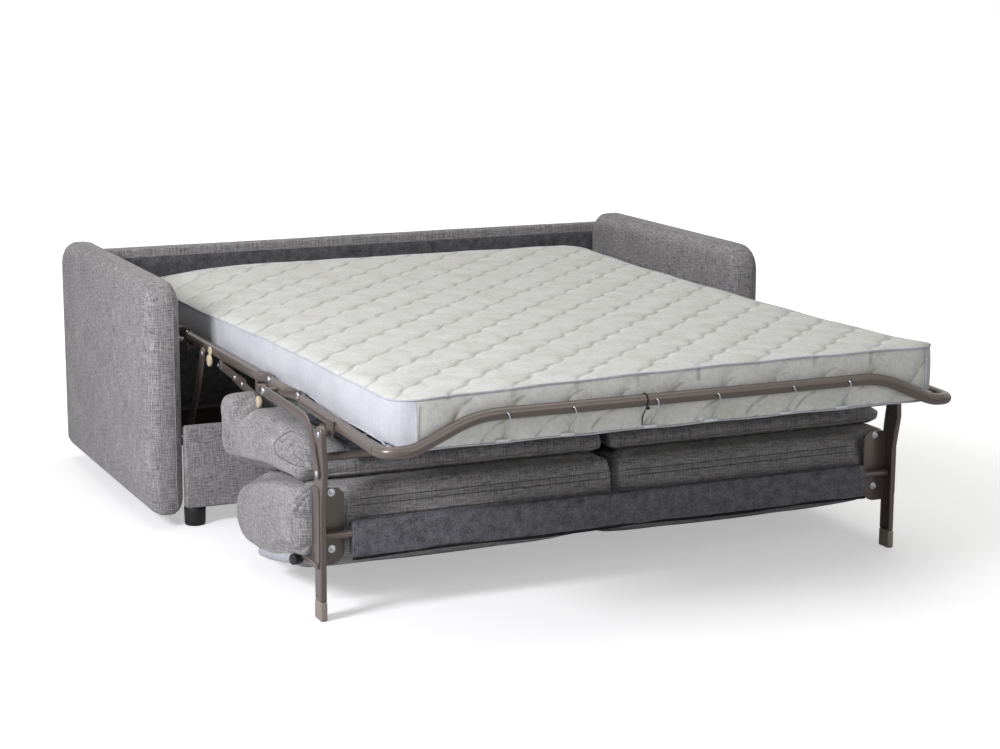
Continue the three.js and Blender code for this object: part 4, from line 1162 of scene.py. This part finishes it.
    def stitching(self):
        """The upright seams that join the border strips near the foot corners."""
        for side, tag in ((1, "right"), (-1, "left")):
            x, y = side * 0.652, PLAN["foot"] + SHIFT - 0.0042
            seam = tube("border_seam", [(x, y + 0.001, 0.553), (x, y - 0.0012, 0.53), (x, y - 0.002, 0.507),
                                        (x, y - 0.0012, 0.48), (x, y + 0.001, 0.461)], 0.0013, sides=2)
            finish_piece(seam, "foot_frame", MATERIALS["tape"], cloth=True)
            seam.name = seam.data.name = f"border_seam_{tag}"

    def ties(self):
        """Wire hooks and a cord that hold the mattress to the foot bar."""
        y, z, r = -1.200 + SHIFT, 0.516, 0.014
        for k, x in enumerate((-0.448, -0.289, -0.083, 0.073, 0.271, 0.422)):
            lean = 0.003 * math.sin(k * 2.1)
            # the wire comes out of a small hole in the bar's face, hangs in a bow and hooks under the border
            line = [(x - 0.004, y - 0.010, z + 0.0015), (x - 0.003, y - r - 0.0035, z + 0.0035),
                    (x + 0.0005, y - r - 0.0045, z - 0.004), (x + 0.0035 + lean, y - r - 0.002, z - 0.015),
                    (x + 0.004 + lean, y - 0.004, z - 0.031), (x + 0.001, y + 0.0075, z - 0.048),
                    (x - 0.001, y + 0.0125, 0.4585)]
            hook = tube("hook", line, 0.0015, 0.006, 2)
            finish_piece(hook, "foot_frame", MATERIALS["zinc"])
            hook.name = hook.data.name = f"mattress_hook_{k}"
            # the hole is drawn as a black disc on the bar's face: painted shade of the tube's dark inside
            hole = bar("hole", (x - 0.004, y - r + 0.0012, z + 0.0012), (x - 0.004, y - r - 0.0003, z + 0.0012), 0.0026,
                       1, 16)
            finish_piece(hole, "foot_frame", MATERIALS["black"])
            hole.name = hole.data.name = f"hook_hole_{k}"
            clip = block("clip", (x - 0.021, y + 0.006, 0.4500), (x + 0.010, y + 0.020, 0.4560), 0.0016, 2)
            finish_piece(clip, "foot_frame", MATERIALS["clip"])
            clip.name = clip.data.name = f"hook_clip_{k}"
        x = -0.108
        ring = [(x, y - (r + 0.0012) * math.cos(t), z + (r + 0.0012) * math.sin(t))
                for t in np.linspace(-0.9, math.pi + 0.5, 18)]
        drop = [(x - 0.001, y + 0.010, 0.4575), (x - 0.001, y + 0.0075, 0.478), (x, y - 0.006, 0.497)]
        tie = tube("bar_tie", drop + ring, 0.0012, 0.004, 2)
        finish_piece(tie, "foot_frame", MATERIALS["piping"])
        knot = block("tie_knot", (x - 0.0035, y - r - 0.0045, z - 0.019), (x + 0.0035, y - r + 0.002, z - 0.012), 0.0018, 2)
        finish_piece(knot, "foot_frame", MATERIALS["piping"])


# Cushions
def cushion_from(node, name, limit, guard, shrink=0.004, voxel=0.007, seed=1):
    """The CAD form, evened out, then blown up as cloth under pressure, with each point's travel limited."""
    obj = FRAME["nodes"][node].copy()
    obj.data = obj.data.copy()
    for key in [k for k in obj.keys() if k.startswith("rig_")]:
        del obj[key]
    obj.parent = None
    bpy.context.scene.collection.objects.link(obj)
    obj.name = obj.data.name = name
    only(obj)
    bpy.ops.object.mode_set(mode="EDIT")
    bpy.ops.mesh.select_all(action="SELECT")
    bpy.ops.mesh.remove_doubles(threshold=0.00002)
    leave()
    even = obj.modifiers.new("even", "REMESH")
    even.mode, even.voxel_size = "VOXEL", voxel
    bpy.ops.object.modifier_apply(modifier=even.name)
    relax = obj.modifiers.new("relax", "SMOOTH")
    relax.iterations, relax.factor = 6, 0.5
    bpy.ops.object.modifier_apply(modifier=relax.name)
    rest = points(obj)
    normals = np.empty(len(rest) * 3)
    obj.data.vertices.foreach_get("normal", normals)
    normals = normals.reshape(-1, 3)
    set_points(obj, rest - normals * shrink)
    scene = bpy.context.scene
    cloth = obj.modifiers.new("stuffing", "CLOTH")
    s = cloth.settings
    s.quality = 5
    s.mass = 0.4
    s.tension_stiffness = s.compression_stiffness = 12
    s.shear_stiffness = 6
    s.bending_stiffness = 0.6
    s.use_pressure = True
    s.uniform_pressure_force = 4
    s.effector_weights.gravity = 0
    for frame in range(1, 19):
        scene.frame_set(frame)
    bpy.ops.object.modifier_apply(modifier=cloth.name)
    scene.frame_set(1)
    now = points(obj)
    move = now - rest
    far = np.linalg.norm(move, axis=1, keepdims=True)
    now = rest + move * np.minimum(1, limit / np.maximum(far, 1e-9))
    now += normals * ripple(rest, seed, 0.16, 0.0026)[:, None]
    set_points(obj, now)
    finer = obj.modifiers.new("finer", "SUBSURF")
    finer.levels = finer.render_levels = 1
    only(obj)
    bpy.ops.object.modifier_apply(modifier=finer.name)
    set_points(obj, guard(points(obj)))
    return smooth(obj, 80)


MEET_Y = np.array([-0.812, -0.770, -0.670, -0.564, -0.428, -0.300]) + SHIFT
MEET_Z = np.array([0.3036, 0.3016, 0.2955, 0.2780, 0.2470, 0.2350])


def crease(along, up, line, width):
    """1 on a line of depths and heights, falling off to its sides and ends."""
    total = np.zeros(len(along))
    for (y0, z0), (y1, z1) in zip(line, line[1:]):
        reach = math.hypot(y1 - y0, z1 - z0)
        t = np.clip(((along - y0) * (y1 - y0) + (up - z0) * (z1 - z0)) / reach ** 2, 0, 1)
        away = np.hypot(along - y0 - t * (y1 - y0), up - z0 - t * (z1 - z0))
        total = np.maximum(total, np.exp(-(away / width) ** 2))
    return total


def seat_form(co):
    """Turns the seat's end round at the front, leaves a square lip below it and fills out its side roll."""
    depth = co[:, 1] - SHIFT
    end = smooth_step(co[:, 0], 0.635, 0.700)
    crest = smooth_step(depth, -0.828, -0.740) * (1 - smooth_step(depth, -0.42, -0.350))
    top = smooth_step(co[:, 2], 0.318, 0.350)
    fall = 1 - 0.45 * smooth_step(co[:, 0], 0.745, 0.800)
    co[:, 2] += end * top * crest * fall * 0.034
    # above the lip the end turns in towards the front as a quarter round
    past = np.clip((-0.668 - depth) / 0.160, 0, 1)
    limit = 0.800 - 0.095 * (1 - np.sqrt(1 - past ** 2 * 0.96))
    above = smooth_step(co[:, 2], 0.335, 0.344)
    co[:, 0] -= np.clip(co[:, 0] - limit, 0, None) * above * smooth_step(past, 0.0, 0.04)
    # the arc seam, the crease above the lip and the folds under the strut's foot
    outer = smooth_step(co[:, 0], 0.70, 0.74)
    seam = crease(depth, co[:, 2], [(-0.690, 0.385), (-0.668, 0.362), (-0.668, 0.346), (-0.685, 0.338),
                                    (-0.830, 0.338)], 0.0042)
    folds = crease(depth, co[:, 2], [(-0.765, 0.376), (-0.790, 0.362), (-0.822, 0.350)], 0.0040)
    folds += crease(depth, co[:, 2], [(-0.742, 0.366), (-0.762, 0.352), (-0.790, 0.346)], 0.0036)
    co[:, 0] -= outer * (0.0050 * seam + 0.0065 * folds)
    co[:, 1] += outer * folds * 0.004
    # the ends stand out to their full length
    co[:, 0] += smooth_step(co[:, 0], 0.760, 0.795) * 0.004 * (1 - above * smooth_step(past, 0.0, 0.2))
    # a tuck beside the upright roll at the rear
    tuck = crease(depth, co[:, 2], [(-0.352, 0.352), (-0.372, 0.385)], 0.009) * smooth_step(co[:, 0], 0.66, 0.76)
    co[:, 2] -= tuck * 0.008
    co[:, 0] = np.minimum(co[:, 0], 0.8105)
    return co


def back_form(co):
    """Presses the backrest's end in behind the bracket, where its cover is gathered in folds."""
    depth, height = co[:, 1] - SHIFT, co[:, 2]
    side = smooth_step(co[:, 0], 0.675, 0.705)
    tall = smooth_step(height, 0.105, 0.130) * (1 - smooth_step(height, 0.300, 0.325))
    press = side * tall * smooth_step(-depth, 0.80, 0.862)
    co[:, 1] += press * 0.018
    outer = smooth_step(co[:, 0], 0.735, 0.785)
    folds = np.zeros(len(co))
    for line, width in (([(-0.866, 0.318), (-0.850, 0.302), (-0.822, 0.262)], 0.0050),
                        ([(-0.858, 0.288), (-0.842, 0.262), (-0.828, 0.240)], 0.0042),
                        ([(-0.828, 0.240), (-0.850, 0.212), (-0.862, 0.200)], 0.0040),
                        ([(-0.862, 0.170), (-0.835, 0.150), (-0.790, 0.140)], 0.0055),
                        ([(-0.866, 0.236), (-0.848, 0.236)], 0.0040),
                        ([(-0.866, 0.326), (-0.800, 0.318), (-0.730, 0.305)], 0.0055)):
        folds += crease(depth, height, line, width)
    puff = np.exp(-((depth + 0.815) / 0.030) ** 2 - ((height - 0.225) / 0.075) ** 2)
    co[:, 0] += outer * (0.0045 * puff - 0.0085 * np.minimum(folds, 1.2))
    co[:, 0] += smooth_step(co[:, 0], 0.760, 0.795) * 0.004 * (1 - press)
    co[:, 0] = np.minimum(co[:, 0], 0.8105)
    return co


def seat_guard(co):
    floor = np.interp(co[:, 1], MEET_Y, MEET_Z) + 0.0006
    co[:, 2] = np.where(co[:, 1] < -0.40 + SHIFT, np.maximum(co[:, 2], floor), co[:, 2])
    co[:, 1] = np.maximum(co[:, 1], -0.829 + SHIFT)
    return seat_form(co)


def back_guard(co):
    roof = np.interp(co[:, 1], MEET_Y, MEET_Z) - 0.0006
    co[:, 2] = np.where(co[:, 2] > 0.2, np.minimum(co[:, 2], roof), co[:, 2])
    return back_form(co)


def middle_guard(co, inner=0.0008):
    co[:, 0] = np.maximum(co[:, 0], inner)
    return co


class SOFA_OT_cushions(bpy.types.Operator):
    """Stuffs the seat and backrest cushions and sews their seams."""

    bl_idname = "sofa.cushions"
    bl_label = "Cushions"

    def execute(self, context):
        rise = context.scene.sofa_sizes.cushion_rise
        fabric = MATERIALS["fabric"]
        seat = cushion_from("seat_cushion_right", "seat", rise, lambda c: middle_guard(seat_guard(c)), seed=31)
        pair = both_sides(seat, "seat_cushion_stuffed", "seat", fabric, ["seat_cushion"], True)
        back = cushion_from("back_cushion_right", "back", rise, lambda c: middle_guard(back_guard(c)), seed=47)
        pair2 = both_sides(back, "back_cushion_stuffed", "leg_and_back", fabric, ["back_cushion"],
                           True)
        self.seams(pair[0], pair2[0])
        return {"FINISHED"}

    def seams(self, seat, back):
        """Sews the zip placket and the felt's edge on the backrest, the piping on the seat and the end tabs."""
        fabric, thread = MATERIALS["fabric"], MATERIALS["thread"]
        # backrest, seen on its lower edge: a zip placket between two rows of stitches, above the felt
        for z, r, mat, tag in ((0.2640, 0.0012, thread, "zip_upper"), (0.2565, 0.0022, fabric, "zip_flap"),
                               (0.2495, 0.0012, thread, "zip_lower"), (0.2255, 0.0034, fabric, "felt_edge")):
            path = drawn_on(back, [(0.012, -0.95 + SHIFT, z), (0.69, -0.95 + SHIFT, z)], 0.0004, 0.02, (0, 1, 0))
            seam = tube(tag, path, r, sides=3)
            both_sides(seam, f"back_{tag}", "leg_and_back", mat, cloth=True)
        for y, z, tag in ((-0.829, 0.3505, "low"), (-0.829, 0.3145, "high")):
            path = drawn_on(seat, [(0.012, y - 0.08 + SHIFT, z), (0.745, y - 0.08 + SHIFT, z)], 0.0012, 0.02, (0, 1, 0))
            seam = tube(tag, path, 0.0031, sides=3)
            both_sides(seam, f"seat_piping_{tag}", "seat", fabric, cloth=True)
        # below the end hangs a strip of pale lining, beside the capped end of the back's own tube
        line = [(0.776, y + SHIFT, z) for y, z in ((-0.520, 0.070), (-0.580, 0.078), (-0.650, 0.091),
                                                   (-0.715, 0.106), (-0.768, 0.120))]
        hem = tube("hem", line, 0.0165, 0.02, sides=8)
        co = points(hem)
        co += ripple(co, 77, 0.045, 0.0024)[:, None] * (0.6, 0, 1)
        set_points(hem, co)
        both_sides(hem, "back_end_hem", "leg_and_back", MATERIALS["hem"], cloth=True)
        # the seam round the front of the seat's end: a real seam, whose dark thread line is also painted shade standing
        # for the shade in its crease
        turns = [(-0.684 + 0.036 * math.cos(t), 0.366 + 0.030 * math.sin(t)) for t in np.linspace(1.9, -1.5, 14)]
        line = [(0.90, y + SHIFT, z) for y, z in turns + [(-0.730, 0.3365), (-0.810, 0.3385)]]
        path = drawn_on(seat, line, 0.0002, 0.01, (-1, 0, 0))
        both_sides(tube("end_seam", path, 0.0012, sides=3), "seat_end_seam", "seat", thread,
                   cloth=True)
        plug = bar("plug", (0.775, -0.776 + SHIFT, 0.117), (0.797, -0.784 + SHIFT, 0.118), 0.0135, 1, 32, 0.0025)
        both_sides(plug, "back_tube_plug", "leg_and_back", MATERIALS["black"])
        arm = block("arm", (0.7718, -0.895 + SHIFT, 0.121), (0.7765, -0.782 + SHIFT, 0.134), 0.0010, 2)
        both_sides(arm, "bracket_foot_bar", "leg_and_back", MATERIALS["paint"])


class SOFA_OT_felt(bpy.types.Operator):
    """Lays the felt covers under the seat and along the backrest, with their bound edges."""

    bl_idname = "sofa.felt"
    bl_label = "Felt covers"

    def execute(self, context):
        felt = MATERIALS["felt"]
        lo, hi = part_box("seat_felt")
        inset = hi.x - 0.662
        cover = block("seat_felt_cover", (lo.x + inset, lo.y, lo.z), (hi.x - inset, hi.y, hi.z - 0.004), 0.007, 4)
        pick(cover, "FACE", lambda f: abs(f.normal.z) > 0.9 or abs(f.normal.y) > 0.9)
        bpy.ops.mesh.subdivide(number_cuts=20)
        leave()
        co = points(cover)
        co[:, 2] += ripple(co, 8, 0.25, 0.0018) * (co[:, 2] > lo.z + 0.004)
        set_points(cover, co)
        smooth(cover, 60)
        finish_piece(cover, "seat", felt, ["seat_felt"], True)
        lo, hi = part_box("back_felt")
        cover = block("back_felt_cover", lo, hi, 0.010, 5)
        pick(cover, "FACE", lambda f: f.normal.y < -0.9)
        bpy.ops.mesh.subdivide(number_cuts=30)
        leave()
        co = points(cover)
        face = co[:, 1] < lo.y + 0.004
        wave = ripple(co, 14, 0.22, 0.003)
        co[:, 1] += np.where(face, np.abs(wave) + 0.002, 0)
        set_points(cover, co)
        smooth(cover, 60)
        finish_piece(cover, "leg_and_back", felt, ["back_felt"], True)
        y = lo.y + 0.006
        path = [(x, y + 0.0015 * math.sin(x * 31), lo.z - 0.001 + 0.0022 * math.sin(x * 13 + 1))
                for x in np.linspace(lo.x, hi.x, 60)]
        edge = tube("back_felt_binding", path, 0.0034, sides=3)
        finish_piece(edge, "leg_and_back", MATERIALS["piping"], cloth=True)
        # in the closed sofa the frame presses the seat from below
        for obj in list(bpy.data.objects):
            if obj.name.startswith(("seat_cushion_stuffed", "seat_piping", "seat_end_seam", "seat_felt_")):
                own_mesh(obj)
        return {"FINISHED"}


# Stage
class SOFA_OT_stage(bpy.types.Operator):
    """Sets the floor, the soft lights, the white surround and the camera."""

    bl_idname = "sofa.stage"
    bl_label = "Stage"

    def execute(self, context):
        scene = context.scene
        deselect()
        bpy.ops.mesh.primitive_plane_add(size=60, location=(0, 0, 0))
        floor = named("studio_floor")
        mat, tree, shader = fresh("white_studio_floor")
        shader.inputs["Base Color"].default_value = linear("e4e4e4")
        shader.inputs["Roughness"].default_value = 0.9
        shader.inputs["Specular IOR Level"].default_value = 0.1
        # the floor runs out into plain white with distance, as in a studio cove
        at = put(tree, "TexCoord").outputs["Object"]
        centred = put(tree, "Mapping", {"Vector": at, "Location": (-0.02, 0.05, 0), "Scale": (0.92, 1, 1)})
        away = put(tree, "VectorMath", {0: centred.outputs[0]}, operation="LENGTH")
        cove = put(tree, "MapRange", {"Value": away.outputs["Value"], "From Min": 1.0, "From Max": 2.5,
                                      "To Min": 0.42, "To Max": 1.0}, interpolation_type="SMOOTHSTEP")
        path = put(tree, "LightPath")
        seen = put(tree, "Math", {0: path.outputs["Is Camera Ray"], 1: cove.outputs[0]}, operation="MULTIPLY")
        shader.inputs["Emission Color"].default_value = (1, 1, 1, 1)
        tree.links.new(seen.outputs[0], shader.inputs["Emission Strength"])
        floor.data.materials.append(mat)
        world = bpy.data.worlds.new("white_surround")
        scene.world = world
        world.use_nodes = True
        tree = world.node_tree
        tree.nodes.clear()
        path = put(tree, "LightPath")
        plain = put(tree, "Background", {"Color": linear("f4f4f6"), "Strength": 0.16})
        white = put(tree, "Background", {"Color": (1, 1, 1, 1), "Strength": 1.0})
        seen = put(tree, "Math", {0: path.outputs["Is Camera Ray"], 1: path.outputs["Is Glossy Ray"]},
                   operation="MAXIMUM")
        seen = put(tree, "Math", {0: seen.outputs[0], 1: path.outputs["Is Transmission Ray"]}, operation="MAXIMUM")
        mix = put(tree, "MixShader", {0: seen.outputs[0], 1: plain.outputs[0], 2: white.outputs[0]})
        put(tree, "OutputWorld", {"Surface": mix.outputs[0]})
        for name, at, towards, size, power, tone in (
                ("left_key", (-3.1, -1.4, 1.9), (-0.4, -0.2, 0.4), (0.8, 0.8), 95, "fbfaff"),
                ("overhead_softbox", (0.2, 0.6, 4.4), (0, 0, 0), (4.5, 4.0), 90, "fffdfa"),
                ("front_fill", (0.6, -4.6, 2.3), (0, 0, 0.4), (3.0, 2.0), 32, "ffffff")):
            lamp = bpy.data.lights.new(name, "AREA")
            lamp.shape = "RECTANGLE"
            lamp.size, lamp.size_y = size
            lamp.energy = power
            lamp.color = linear(tone)[:3]
            obj = bpy.data.objects.new(name, lamp)
            scene.collection.objects.link(obj)
            obj.location = at
            obj.rotation_euler = (Vector(towards) - Vector(at)).to_track_quat("-Z", "Y").to_euler()
        yaw, pitch, roll = 0.427721, 0.197382, 0.003659
        ahead = Vector((math.sin(yaw) * math.cos(pitch), math.cos(yaw) * math.cos(pitch), -math.sin(pitch)))
        right = Vector((math.cos(yaw), -math.sin(yaw), 0))
        up = right.cross(ahead)
        c, s = math.cos(roll), math.sin(roll)
        x, y = right * c + up * s, up * c - right * s
        lens = bpy.data.cameras.new("camera")
        lens.sensor_width, lens.lens = 36.0, 80.008
        lens.clip_start, lens.clip_end = 0.1, 100
        camera = bpy.data.objects.new("camera", lens)
        scene.collection.objects.link(camera)
        turn = Matrix((x, y, -ahead)).transposed().to_4x4()
        camera.matrix_world = Matrix.Translation((-2.409158, -5.469447 + SHIFT, 1.54043)) @ turn
        scene.camera = camera
        scene.view_settings.view_transform = "Standard"
        return {"FINISHED"}


class SOFA_PT_panel(bpy.types.Panel):
    """Lists the pieces in the sidebar."""

    bl_label = "Sleeper sofa"
    bl_idname = "SOFA_PT_panel"
    bl_space_type = "VIEW_3D"
    bl_region_type = "UI"
    bl_category = "Sofa"

    def draw(self, context):
        column = self.layout.column()
        for group in (context.scene.sofa_colours, context.scene.sofa_sizes):
            for key in group.bl_rna.properties.keys():
                if key not in ("rna_type", "name"):
                    column.prop(group, key)
        for step in STEPS:
            column.operator(step.bl_idname)


STEPS = (SOFA_OT_finishes, SOFA_OT_arms, SOFA_OT_back_and_base, SOFA_OT_folding_frame, SOFA_OT_legs,
         SOFA_OT_mattress, SOFA_OT_cushions, SOFA_OT_felt, SOFA_OT_stage)
CLASSES = (SofaColours, SofaSizes, *STEPS, SOFA_PT_panel)


def register():
    for cls in CLASSES:
        bpy.utils.register_class(cls)
    bpy.types.Scene.sofa_colours = bpy.props.PointerProperty(type=SofaColours)
    bpy.types.Scene.sofa_sizes = bpy.props.PointerProperty(type=SofaSizes)


def unregister():
    del bpy.types.Scene.sofa_colours
    del bpy.types.Scene.sofa_sizes
    for cls in reversed(CLASSES):
        bpy.utils.unregister_class(cls)


def main():
    register()
    for step in STEPS:
        group, name = step.bl_idname.split(".")
        if getattr(getattr(bpy.ops, group), name)() != {"FINISHED"}:
            raise RuntimeError(f"{step.bl_idname} didn't finish")


if __name__ == "__main__":
    main()
